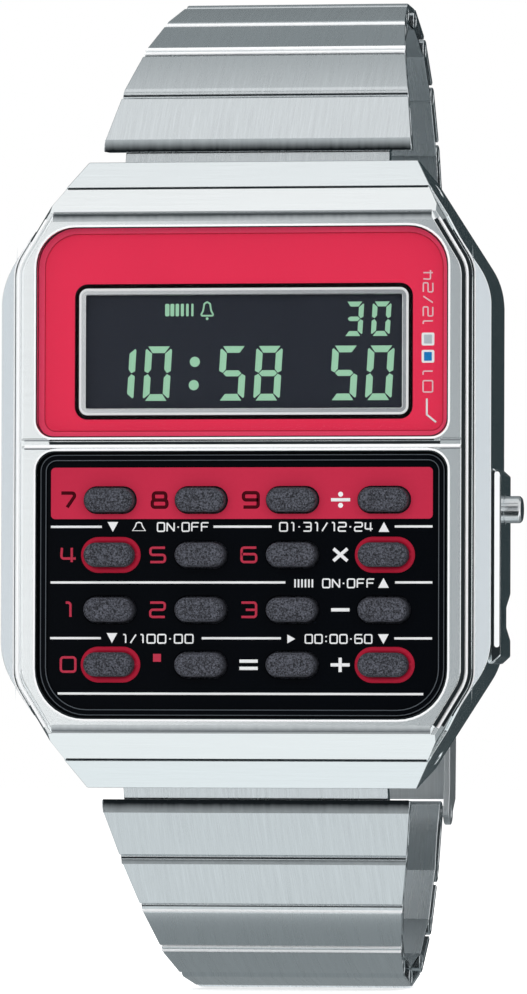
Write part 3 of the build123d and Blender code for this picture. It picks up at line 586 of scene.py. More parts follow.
@dataclass(frozen=True)
class MouldedPart:
    """Matt plastic, rubber or lacquer out of sight inside the case."""

    name: str
    tone: str
    deep: str
    roughness: float = 0.55
    grain_per_mm: float = 4.0
    rough_spread: float = 0.2
    relief_mm: float = 0.006

    def make(self) -> bpy.types.Material:
        """Builds the material.

        Returns:
            The matt finish.
        """
        bench = FinishBench(self.name)
        grain = bench.noise(even(self.grain_per_mm), detail=3.0)
        return bench.close(
            {
                "Base Color": bench.blend(grain, paint(self.deep), paint(self.tone)),
                "Roughness": self.roughness + (grain - 0.5) * self.rough_spread,
                "Normal": bench.bump(grain, self.relief_mm),
            }
        )


@dataclass(frozen=True)
class ClearGlass:
    """Flat crystal, nearly invisible from the front, with a thin gloss."""

    name: str
    tone: str
    body: float = 0.03
    body_spread: float = 0.02
    roughness: float = 0.05
    rough_spread: float = 0.03
    shine: float = 0.3
    smear_per_mm: float = 0.2

    def make(self) -> bpy.types.Material:
        """Builds the material.

        Returns:
            The clear crystal.
        """
        bench = FinishBench(self.name)
        smear = bench.noise(even(self.smear_per_mm))
        return bench.close(
            {
                "Base Color": paint(self.tone),
                "Roughness": self.roughness + smear * self.rough_spread,
                "Specular IOR Level": self.shine,
                "Alpha": self.body + smear * self.body_spread,
            }
        )


@dataclass(frozen=True)
class DisplayGlass:
    """Dark liquid crystal glass with a faint vertical polariser grain."""

    name: str
    tone: str
    deep: str
    roughness: float = 0.28
    rough_spread: float = 0.1
    shine: float = 0.1
    grain_per_mm: Triple = (3.0, 3.0, 0.2)
    relief_mm: float = 0.001

    def make(self) -> bpy.types.Material:
        """Builds the material.

        Returns:
            The display's dark glass.
        """
        bench = FinishBench(self.name)
        grain = bench.noise(self.grain_per_mm)
        return bench.close(
            {
                "Base Color": bench.blend(grain, paint(self.deep), paint(self.tone)),
                "Roughness": self.roughness + grain * self.rough_spread,
                "Specular IOR Level": self.shine,
                "Normal": bench.bump(grain, self.relief_mm),
            }
        )


Finish = (
    BrushedMetal
    | PolishedMetal
    | PrintAndPaintedLight
    | FoldShade
    | GlossPlate
    | SpeckledRubber
    | MouldedPart
    | ClearGlass
    | DisplayGlass
)


@dataclass(frozen=True)
class Finishes:
    """Every finish on the watch, made once and shared."""

    case_metal: Finish = BrushedMetal(
        "satin_case_steel", "F2F8FA", Axis.ACROSS, 0.2, 0.03, 0.0006, 0.06
    )
    bezel_metal: Finish = BrushedMetal(
        "satin_bezel_steel", "F8FCFD", Axis.ACROSS, 0.17, 0.02, 0.0004, 0.05
    )
    # Painted shade and dark reflection: lines in grooves, steps, seams, link folds, and the guard
    shade_steel: Finish = PrintAndPaintedLight("painted_shade_tone", "23292C", "1D2326")
    # Painted shade in the fine grooves of the bar between the openings
    grey_line: Finish = PrintAndPaintedLight("painted_groove_shade_grey", "7C8286", "747A7E")
    # Painted highlight on edges, rims, the ridge bar, the pushers' guard and the link folds
    edge_steel: Finish = PrintAndPaintedLight("painted_edge_highlight", "FCFDFE", "F5F7F9", 0.3)
    frame_silver: Finish = PolishedMetal("bright_frame_plate", "E6E8EA", 0.16)
    link_steel: Finish = BrushedMetal(
        "brushed_link_steel", "D8DEE1", Axis.CHAIN, 0.26, 0.08, 0.0015, 0.16
    )
    clasp_steel: Finish = BrushedMetal(
        "brushed_clasp_steel", "E4E8EA", Axis.CHAIN, 0.46, 0.08, 0.0015, 0.16
    )
    back_steel: Finish = BrushedMetal(
        "brushed_back_steel", "E2E6E8", Axis.UPRIGHT, 0.46, 0.1, 0.002, 0.2
    )
    pusher_steel: Finish = BrushedMetal(
        "brushed_pusher_steel", "D8DBDD", Axis.ACROSS, 0.22, 0.06, 0.001, 0.12
    )
    battery_steel: Finish = BrushedMetal(
        "battery_can_steel", "C2C4C8", Axis.ACROSS, 0.3, 0.08, 0.002, 0.15
    )
    alarm_brass: Finish = PolishedMetal("alarm_disc_brass", "C9A85A", 0.3)
    crystal: Finish = ClearGlass("clear_crystal", "2A2C30")
    mask_red: Finish = PrintAndPaintedLight("red_mask_ink", "EE3456", "E42E50", 0.3)
    # Painted light along the mask's edge, where the crystal's bevel lies over it
    edge_red: Finish = PrintAndPaintedLight("painted_bevel_light_red", "FA4C70", "F24468", 0.3)
    # Painted shade: a dark line at the inner edge of that band of light
    line_red: Finish = PrintAndPaintedLight("painted_mask_edge_shade_red", "C2263F", "BA2038", 0.3)
    band_red: Finish = PrintAndPaintedLight("red_band_ink", "C42E4A", "B82642", 0.35)
    ring_red: Finish = PrintAndPaintedLight("red_ring_ink", "B0203A", "A21830", 0.35)
    digit_red: Finish = PrintAndPaintedLight("red_digit_ink", "C03A50", "A82C42")
    digit_maroon: Finish = PrintAndPaintedLight("maroon_digit_ink", "4A0412", "3C020C")
    rule_white: Finish = PrintAndPaintedLight("white_rule_ink", "F2F3F4", "E6E8EA")
    label_rose: Finish = PrintAndPaintedLight("pale_rose_ink", "F2C4CC", "ECBCC4")
    label_silver: Finish = PrintAndPaintedLight("silver_label_ink", "B9C3CB", "AEB8C0", 0.35)
    label_blue: Finish = PrintAndPaintedLight("blue_label_ink", "1B7FC4", "1672B4", 0.35)
    segment_green: Finish = PrintAndPaintedLight("pale_green_segments", "A4D6B6", "9ACDAC", 0.45)
    display_dark: Finish = DisplayGlass("dark_display_glass", "272B34", "232730")
    upper_crease: Finish = FoldShade("upper_crease_shade", "3A4043", "BCC2C5", 17.66, 17.27)
    lower_crease: Finish = FoldShade("lower_crease_shade", "7E8488", "C4CACC", -17.66, -17.26)
    # Painted shade: a dark line along the bezel's upper crease
    crease_grey: Finish = PrintAndPaintedLight("painted_crease_shade_grey", "5C6265", "565C5F")
    # Painted shade, mid grey, along the creases beside the darker lines
    crease_pale: Finish = PrintAndPaintedLight("painted_half_tone_crease", "9CA2A5", "969C9F")
    first_fold: Finish = FoldShade("first_fold_shade", "1A1F22", "A4ABAE", 22.5, 23.25)
    low_fold: Finish = FoldShade("low_fold_shade", "1A1F22", "9CA3A6", -22.65, -23.3)
    second_fold: Finish = FoldShade("second_fold_shade", "5A6063", "A4ABAE", -26.5, -26.9)
    keypad_black: Finish = GlossPlate("black_keypad_plate", "04060A", "0B0E14", 0.16, 0.03)
    # Painted highlight on the edges of the keypad plate's raised rim
    rim_grey: Finish = PrintAndPaintedLight("painted_rim_highlight_grey", "565C62", "4E545A", 0.35)
    surround_black: Finish = GlossPlate("black_display_surround", "080203", "100406", 0.3, 0.03)
    key_rubber: Finish = SpeckledRubber("speckled_key_rubber", "101116", "666974")
    mat_rubber: Finish = MouldedPart("grey_contact_rubber", "9A9CA0", "8C8E92")
    board_green: Finish = MouldedPart("green_board_lacquer", "1E6B40", "18552F", 0.35, 1.5)
    module_plastic: Finish = MouldedPart("module_frame_plastic", "34363A", "2C2E32")
    gasket_rubber: Finish = MouldedPart("black_gasket_rubber", "16171A", "101114")

    def make_all(self) -> dict[str, bpy.types.Material]:
        """Builds each finish, and gives the materials by field name."""
        return {item.name: getattr(self, item.name).make() for item in fields(self)}


# Mesh helpers


def box_mm(node: str) -> tuple[Vector, Vector]:
    """Lowest and highest corner of a packed node, in millimetres."""
    low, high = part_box(node)
    return low / MM, high / MM


def recalculated(mesh: bpy.types.Mesh) -> bpy.types.Mesh:
    """Merges a mesh's doubles and turns its faces outwards.

    Args:
        mesh: The mesh, which is changed.

    Returns:
        The same mesh.
    """
    shape = bmesh.new()
    shape.from_mesh(mesh)
    bmesh.ops.remove_doubles(shape, verts=shape.verts, dist=DRAWN_MERGE_MM * MM)
    bmesh.ops.recalc_face_normals(shape, faces=shape.faces)
    shape.to_mesh(mesh)
    shape.free()
    return mesh


def on_dial(mesh: bpy.types.Mesh, height_mm: float) -> bpy.types.Mesh:
    """Turns a flat mesh drawn in X and Y, in metres, onto a plane that faces the dial's way.

    Args:
        mesh: The flat mesh, with its thickness along Z.
        height_mm: Height of the plane over the case back.

    Returns:
        The same mesh, placed.
    """
    upright = Matrix.Rotation(math.pi / 2, 4, "X")
    mesh.transform(Matrix.Translation((0, -height_mm * MM, 0)) @ upright)
    return recalculated(mesh)


def flat_loops(name: str, loops: Sequence[Sequence[Point]], thick_mm: float) -> bpy.types.Mesh:
    """Makes a thin plate from closed outlines, in which an outline inside another is a hole.

    Args:
        name: Name of the mesh.
        loops: Closed outlines in millimetres.
        thick_mm: Thickness of the plate, which lies on Z = 0.

    Returns:
        The plate's mesh.
    """
    curve = bpy.data.curves.new(name, "CURVE")
    curve.dimensions = "2D"
    curve.fill_mode = "BOTH"
    curve.extrude = thick_mm * MM / 2
    for loop in loops:
        spline = curve.splines.new("POLY")
        spline.points.add(len(loop) - 1)
        for spot, (x, y) in zip(spline.points, loop):
            spot.co = (x * MM, y * MM, 0, 1)
        spline.use_cyclic_u = True
    mesh = evaluated(bpy.data.objects.new(name, curve))
    mesh.transform(Matrix.Translation((0, 0, thick_mm * MM / 2)))
    return mesh


def evaluated(carrier: bpy.types.Object) -> bpy.types.Mesh:
    """Turns an object into the plain mesh that it shows, and removes the object.

    Args:
        carrier: A new object that isn't in the scene yet.

    Returns:
        The mesh.
    """
    bpy.context.scene.collection.objects.link(carrier)
    seen = carrier.evaluated_get(bpy.context.evaluated_depsgraph_get())
    mesh = bpy.data.meshes.new_from_object(seen)
    bpy.data.objects.remove(carrier)
    return mesh


def box_loop(
    left: float,
    right: float,
    low: float,
    high: float,
    corner: float = 0.0,
    top_corner: float | None = None,
) -> list[Point]:
    """Rectangle with rounded corners, as one closed outline in millimetres.

    Args:
        left: Left edge.
        right: Right edge.
        low: Lower edge.
        high: Upper edge.
        corner: Radius of the corners.
        top_corner: Radius of the upper corners where it differs.

    Returns:
        The outline's points, anticlockwise.
    """
    if not corner:
        return [(left, low), (right, low), (right, high), (left, high)]
    top = corner if top_corner is None else top_corner
    centres = (
        (right - corner, low + corner, -90, corner),
        (right - top, high - top, 0, top),
        (left + top, high - top, 90, top),
        (left + corner, low + corner, 180, corner),
    )
    points = []
    for x, z, start, radius in centres:
        for step in range(CORNER_STEPS + 1):
            turn = math.radians(start + 90 * step / CORNER_STEPS)
            points.append((x + radius * math.cos(turn), z + radius * math.sin(turn)))
    return points


def node_loop(
    node: str, inset: float, corner: float, top_corner: float | None = None
) -> list[Point]:
    """Outline that follows a packed node's box at a distance inside it.

    Args:
        node: The packed node.
        inset: Distance inside the box, or outside it where negative.
        corner: Radius of the corners.
        top_corner: Radius of the upper corners where it differs.

    Returns:
        The outline's points, in millimetres.
    """
    low, high = box_mm(node)
    sides = (low.x + inset, high.x - inset, low.z + inset, high.z - inset)
    return box_loop(*sides, corner, top_corner)


def disc_loop(x: float, z: float, radius: float, steps: int = 28) -> list[Point]:
    """Circle as one closed outline in millimetres."""
    turns = [2 * math.pi * step / steps for step in range(steps)]
    return [(x + radius * math.cos(turn), z + radius * math.sin(turn)) for turn in turns]


def mirrored(half: Sequence[Point], centre: Point) -> list[Point]:
    """Outline of a form with two equal sides.

    Args:
        half: Points of its right side, from the top on the centre line.
        centre: Where the half's own zero lies.

    Returns:
        The closed outline.
    """
    x, z = centre
    left = [(x - a, z + b) for a, b in reversed(half[1:])]
    return [(x + a, z + b) for a, b in half] + left


# Geometry nodes


class GeometryBench(NodeBench):
    """A geometry tree with named sizes, applied to a mesh once and then thrown away."""

    def __init__(self, name: str, sizes: Sequence[str]) -> None:
        """Starts a tree.

        Args:
            name: The tree's name.
            sizes: Names of its number inputs.
        """
        super().__init__(bpy.data.node_groups.new(name, "GeometryNodeTree"))
        sockets = [("Geometry", "INPUT", "NodeSocketGeometry")]
        sockets += [(label, "INPUT", "NodeSocketFloat") for label in sizes]
        sockets.append(("Finish", "INPUT", "NodeSocketMaterial"))
        sockets.append(("Geometry", "OUTPUT", "NodeSocketGeometry"))
        for label, way, kind in sockets:
            self.tree.interface.new_socket(label, in_out=way, socket_type=kind)
        self.given = self.node("NodeGroupInput")

    def size(self, label: str) -> bpy.types.NodeSocket:
        """Socket of one named input."""
        return self.given.outputs[label]

    def finish(self, geometry: bpy.types.NodeSocket) -> None:
        """Ends the tree in real geometry with its finish.

        Args:
            geometry: Socket of what the tree made.
        """
        real = self.node("GeometryNodeRealizeInstances", {}, {0: geometry})
        feeds = {"Geometry": real.outputs[0], "Material": self.size("Finish")}
        dressed = self.node("GeometryNodeSetMaterial", {}, feeds)
        self.node("NodeGroupOutput", {}, {0: dressed.outputs[0]})

    def grow(
        self, name: str, mesh: bpy.types.Mesh, sizes: dict[str, float], material: bpy.types.Material
    ) -> bpy.types.Mesh:
        """Runs the tree on a mesh.

        Args:
            name: Name of the new mesh.
            mesh: Points or edges that the tree works on.
            sizes: Value of each named input.
            material: The finish.

        Returns:
            A plain mesh.
        """
        carrier = bpy.data.objects.new(name, mesh)
        modifier = carrier.modifiers.new("grow", "NODES")
        modifier.node_group = self.tree
        values = {**sizes, "Finish": material}
        for item in self.tree.interface.items_tree:
            if item.in_out == "INPUT" and item.name in values:
                modifier[item.identifier] = values[item.name]
        made = evaluated(carrier)
        made.name = name
        return made


class FlatLine(GeometryBench):
    """Flat printed line of one width along every path of edges."""

    # Step between one path and the next, so that no two that cross share a plane
    stagger_mm: float = 0.003
    bend_points: int = 6

    def __init__(self) -> None:
        """Builds the tree."""
        super().__init__("flat_line", ("Width", "Thickness", "Corner"))
        paths = self.node("GeometryNodeMeshToCurve", {}, {0: self.given.outputs[0]})
        bent = self.node(
            "GeometryNodeFilletCurve",
            {"mode": "POLY"},
            {
                "Curve": paths.outputs[0],
                "Count": self.bend_points,
                "Radius": self.size("Corner"),
                "Limit Radius": True,
            },
        )
        flat = self.node("GeometryNodeSetCurveNormal", {"mode": "Z_UP"}, {0: bent.outputs[0]})
        outline = self.node(
            "GeometryNodeCurvePrimitiveQuadrilateral",
            {},
            {"Width": self.size("Width"), "Height": self.size("Thickness")},
        )
        swept = self.node(
            "GeometryNodeCurveToMesh",
            {},
            {"Curve": flat.outputs[0], "Profile Curve": outline.outputs[0], "Fill Caps": True},
        )
        self.finish(swept.outputs[0])

    def draw(
        self,
        name: str,
        paths: Sequence[Path],
        width_mm: float,
        corner_mm: float,
        height_mm: float,
        material: bpy.types.Material,
        thick_mm: float,
    ) -> bpy.types.Mesh:
        """Draws paths onto a plane that faces the dial's way.

        Args:
            name: Name of the mesh.
            paths: What the pen follows.
            width_mm: Width of the line.
            corner_mm: Radius of its bends.
            height_mm: Height of the plane over the case back.
            material: The ink.
            thick_mm: Thickness of the ink.

        Returns:
            The lines as one mesh.
        """
        spots: list[Triple] = []
        edges: list[tuple[int, int]] = []
        for order, (points, closed) in enumerate(paths):
            first = len(spots)
            spots += [(x * MM, y * MM, order * self.stagger_mm * MM) for x, y in points]
            edges += [(i, i + 1) for i in range(first, len(spots) - 1)]
            if closed:
                edges.append((len(spots) - 1, first))
        mesh = bpy.data.meshes.new(name)
        mesh.from_pydata(spots, edges, [])
        sizes = {"Width": width_mm * MM, "Thickness": thick_mm * MM, "Corner": corner_mm * MM}
        return on_dial(self.grow(name, mesh, sizes, material), height_mm + thick_mm / 2)


# Workshop


@dataclass(frozen=True)
class Strip:
    """Straight thin line that runs across the watch at one height."""

    name: str
    finish: str
    z_mm: float
    half_mm: float
    width_mm: float
    height_mm: float
    thick_mm: float = INK_MM
    body: str = "case"


@dataclass(frozen=True)
class Workshop:
    """Dresses packed nodes and adds printed forms, each in a named finish."""

    finishes: dict[str, bpy.types.Material]
    pen: FlatLine

    def show(self, name: str, mesh: bpy.types.Mesh, finish: str, body: str) -> bpy.types.Object:
        """Puts a finished mesh into the scene on a body.

        Args:
            name: The piece's name.
            mesh: Mesh with its place in it.
            finish: Name of its finish.
            body: The packed body that carries it.

        Returns:
            The new piece.
        """
        mesh.materials.clear()
        mesh.materials.append(self.finishes[finish])
        piece = bpy.data.objects.new(name, mesh)
        bpy.context.scene.collection.objects.link(piece)
        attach(piece, body)
        LOG.info("%s on %s in %s", name, body, finish)
        return piece

    def dress(self, finish: str, *nodes: str) -> None:
        """Gives packed nodes a finish in place.

        Args:
            finish: Name of the finish.
            nodes: The nodes.
        """
        for node in nodes:
            slots = frame["nodes"][node].data.materials
            slots.clear()
            slots.append(self.finishes[finish])
            LOG.info("%s in %s", node, finish)

    def soften(
        self,
        node: str,
        name: str,
        finish: str,
        edge_mm: float,
        segments: int = 2,
        sharp_deg: float = 32.0,
    ) -> bpy.types.Object:
        """Stands in for a packed node with a copy whose edges are rounded.

        Args:
            node: The packed node.
            name: The new piece's name.
            finish: Name of its finish, which is the record's material slot too.
            edge_mm: Width of the rounding, or 0 for plain edges.
            segments: Steps across the rounding.
            sharp_deg: Bend from which an edge counts as sharp.

        Returns:
            The new piece.
        """
        source = frame["nodes"][node]
        corners = [spot.co[:] for spot in source.data.vertices]
        mesh = bpy.data.meshes.new(name)
        mesh.from_pydata(corners, [], [side.vertices[:] for side in source.data.polygons])
        shape = bmesh.new()
        shape.from_mesh(mesh)
        bmesh.ops.remove_doubles(shape, verts=shape.verts, dist=PACKED_MERGE_MM * MM)
        flat = math.radians(FLAT_DEG)
        bmesh.ops.dissolve_limit(shape, angle_limit=flat, verts=shape.verts, edges=shape.edges)
        for face in shape.faces:
            face.smooth = True
        for edge in shape.edges:
            edge.smooth = edge.calc_face_angle(0.0) < math.radians(sharp_deg)
        shape.to_mesh(mesh)
        shape.free()
        piece = self.show(name, mesh, finish, source["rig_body"])
        if edge_mm:
            bevel = piece.modifiers.new("rounded_edges", "BEVEL")
            bevel.width = edge_mm * MM
            bevel.segments = segments
            bevel.limit_method = "ANGLE"
            bevel.angle_limit = math.radians(sharp_deg)
            bevel.use_clamp_overlap = False
            bevel.harden_normals = True
        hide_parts(node)
        return piece

    def plate(
        self,
        name: str,
        finish: str,
        loops: Sequence[Sequence[Point]],
        height_mm: float,
        thick_mm: float = INK_MM,
    ) -> None:
        """Lays a thin plate on the case.

        Args:
            name: The plate's name.
            finish: Name of its finish.
            loops: Its closed outlines, in which one inside another is a hole.
            height_mm: Height of its underside over the case back.
            thick_mm: Its thickness.
        """
        self.show(name, on_dial(flat_loops(name, loops, thick_mm), height_mm), finish, "case")

    def line(
        self,
        name: str,
        finish: str,
        paths: Sequence[Path],
        width_mm: float,
        height_mm: float,
        corner_mm: float = 0.0,
        thick_mm: float = INK_MM,
        body: str = "case",
    ) -> None:
        """Lays a line of one width along each path.

        Args:
            name: Name of the lines.
            finish: Name of their finish.
            paths: What the pen follows.
            width_mm: Width of the line.
            height_mm: Height of its underside over the case back.
            corner_mm: Radius of its bends.
            thick_mm: Thickness of the line.
            body: The packed body that carries it.
        """
        ink = self.finishes[finish]
        mesh = self.pen.draw(name, paths, width_mm, corner_mm, height_mm, ink, thick_mm)
        self.show(name, mesh, finish, body)

    def strip(self, strip: Strip) -> None:
        """Lays one straight strip across the watch.

        Args:
            strip: Its place, size, finish and body.
        """
        path = Path([(-strip.half_mm, strip.z_mm), (strip.half_mm, strip.z_mm)])
        self.line(
            strip.name,
            strip.finish,
            [path],
            strip.width_mm,
            strip.height_mm,
            thick_mm=strip.thick_mm,
            body=strip.body,
        )


# Lettering

# Pen paths of each mark in a box from -1 to 1 both ways
PEN_PATHS: dict[str, list[Path]] = {
    "0": [Path([(-1, -1), (1, -1), (1, 1), (-1, 1)], True)],
    "1": [Path([(-0.35, 1), (0.3, 1), (0.3, -1)])],
    "2": [Path([(-1, 1), (1, 1), (1, 0), (-1, 0), (-1, -1), (1, -1)])],
    "3": [Path([(-1, 1), (1, 1), (1, -1), (-1, -1)]), Path([(-0.4, 0), (1, 0)])],
    "4": [Path([(-0.9, 1), (-1, -0.5), (1, -0.5)]), Path([(0.45, 1), (0.45, -1)])],
    "5": [Path([(1, 1), (-1, 1), (-1, 0), (1, 0), (1, -1), (-1, -1)])],
    "6": [Path([(1, 1), (-1, 1), (-1, -1), (1, -1), (1, 0.1), (-1, 0.1)])],
    "7": [Path([(-1, 1), (1.12, 1), (-0.2, -1)])],
    "8": [
        Path([(-1, -1), (1, -1), (1, 0), (-1, 0)], True),
        Path([(-0.85, 0), (0.85, 0), (0.85, 1), (-0.85, 1)], True),
    ],
    "9": [Path([(-1, -1), (1, -1), (1, 1), (-1, 1), (-1, 0), (1, 0)])],
    "divide": [Path([(-1.3, 0), (1.3, 0)])],
    "multiply": [Path([(-0.95, -0.85), (0.95, 0.85)]), Path([(-0.95, 0.85), (0.95, -0.85)])],
    "minus": [Path([(-1.25, 0), (1.25, 0)])],
    "plus": [Path([(-1.3, 0), (1.3, 0)]), Path([(0, 1), (0, -1)])],
    "equals": [Path([(-1.25, 0.5), (1.25, 0.5)]), Path([(-1.25, -0.5), (1.25, -0.5)])],
    "O": [Path([(-1, -1), (1, -1), (1, 1), (-1, 1)], True)],
    "N": [Path([(-1, -1), (-1, 1)]), Path([(-1, 1), (1, -1)]), Path([(1, -1), (1, 1)])],
    "F": [Path([(-1, -1), (-1, 1), (1, 1)]), Path([(-1, 0.05), (0.75, 0.05)])],
    "/": [Path([(-0.7, -1), (0.7, 1)])],
    "·": [Path([(-0.22, 0), (0.22, 0)])],
    ":": [Path([(-0.22, 0.55), (0.22, 0.55)]), Path([(-0.22, -0.55), (0.22, -0.55)])],
}
# Room that a mark takes along a word, where it isn't a whole letter's
NARROW = {"1": 0.72, "/": 0.9, "·": 0.55, ":": 0.55}


@dataclass
class Lettering:
    """Plain numbers and switch words, drawn with a pen of one width."""

    shop: Workshop
    pen_mm: float = 0.1
    corner_mm: float = 0.09
    letter_share: float = 0.36

    def write(
        self,
        name: str,
        finish: str,
        words: str,
        box: Box,
        height_mm: float,
        turned: bool = False,
    ) -> None:
        """Prints words as thin lines that fill a box on the dial.

        Args:
            name: The piece's name.
            finish: Name of the ink.
            words: What it says.
            box: Left, right, low and high edges in millimetres.
            height_mm: Height of the plane over the case back.
            turned: True where the words read upwards.
        """
        left, right, low, high = box
        run, rise = (high - low, right - left) if turned else (right - left, high - low)
        pitch = run / sum(NARROW.get(mark, 1.0) for mark in words)
        half_wide, half_tall = self.letter_share * pitch, (rise - self.pen_mm) / 2
        paths = []
        reached = 0.0
        for mark in words:
            room = NARROW.get(mark, 1.0) * pitch
            middle = reached + room / 2
            reached += room
            for points, closed in PEN_PATHS[mark]:
                spots = [(middle + a * half_wide, rise / 2 + b * half_tall) for a, b in points]
                if turned:
                    placed = [(right - up, low + along) for along, up in spots]
                else:
                    placed = [(left + along, low + up) for along, up in spots]
                paths.append(Path(placed, closed))
        self.shop.line(name, finish, paths, self.pen_mm, height_mm, self.corner_mm)


# Studio


def shown_rays(bench: NodeBench) -> Signal:
    """1 for rays from the camera, off polished metal and through glass, and 0 for the rest.

    Args:
        bench: The tree that gets the nodes.

    Returns:
        The mask.
    """
    path = bench.node("ShaderNodeLightPath")
    kinds = ("Is Camera Ray", "Is Glossy Ray", "Is Transmission Ray")
    straight, glossy, through = (Signal(bench, path.outputs[kind]) for kind in kinds)
    return straight + glossy + through > 0.5


@dataclass(frozen=True)
class SoftBox:
    """Square soft lamp that faces the watch."""

    name: str
    place_mm: Triple
    size_mm: float
    watts: float

    def stand(self) -> None:
        """Adds the lamp."""
        lamp = bpy.data.lights.new(self.name, "AREA")
        lamp.size = self.size_mm * MM
        lamp.energy = self.watts
        holder = bpy.data.objects.new(self.name, lamp)
        holder.location = Vector(self.place_mm) * MM
        holder.rotation_euler = (-holder.location).to_track_quat("-Z", "Y").to_euler()
        holder.visible_glossy = False
        bpy.context.scene.collection.objects.link(holder)


@dataclass(frozen=True)
class Card:
    """Plain card for the metal to reflect, out of the camera's sight.

    A card with a far tone is graded towards it, between two places across the card.
    """

    name: str
    centre_mm: Triple
    half_mm: Point
    tone: str
    facing_mm: Triple = (0, 0, 0)
    far_tone: str = ""
    grade_mm: Point = (0, 0)

    def stand(self) -> None:
        """Adds the card and turns it to the point that it faces."""
        bench = FinishBench(self.name)
        colour: Any = paint(self.tone)
        if self.far_tone:
            start, end = self.grade_mm
            share = (bench.along(0) - start) / (end - start)
            colour = bench.blend(share, paint(self.tone), paint(self.far_tone))
        glow = bench.node("ShaderNodeEmission", {}, {"Color": colour, "Strength": 1.0})
        bench.node("ShaderNodeOutputMaterial", {}, {"Surface": glow.outputs[0]})
        half_x, half_y = (half * MM for half in self.half_mm)
        corners = [(-half_x, -half_y), (half_x, -half_y), (half_x, half_y), (-half_x, half_y)]
        card = staged_quad(self.name, [(x, y, 0.0) for x, y in corners], bench.material)
        card.location = Vector(self.centre_mm) * MM
        away = Vector(self.facing_mm) * MM - card.location
        card.rotation_euler = away.to_track_quat("Z", "Y").to_euler()
        card.visible_camera = False
        card.visible_diffuse = False
        card.visible_shadow = False


def staged_quad(
    name: str, corners: Sequence[Triple], material: bpy.types.Material
) -> bpy.types.Object:
    """Adds one flat face that isn't part of the watch.

    Args:
        name: Its name.
        corners: Its four corners, in metres.
        material: Its material.

    Returns:
        The new object.
    """
    mesh = bpy.data.meshes.new(name)
    mesh.from_pydata(corners, [], [(0, 1, 2, 3)])
    mesh.materials.append(material)
    quad = bpy.data.objects.new(name, mesh)
    bpy.context.scene.collection.objects.link(quad)
    return quad


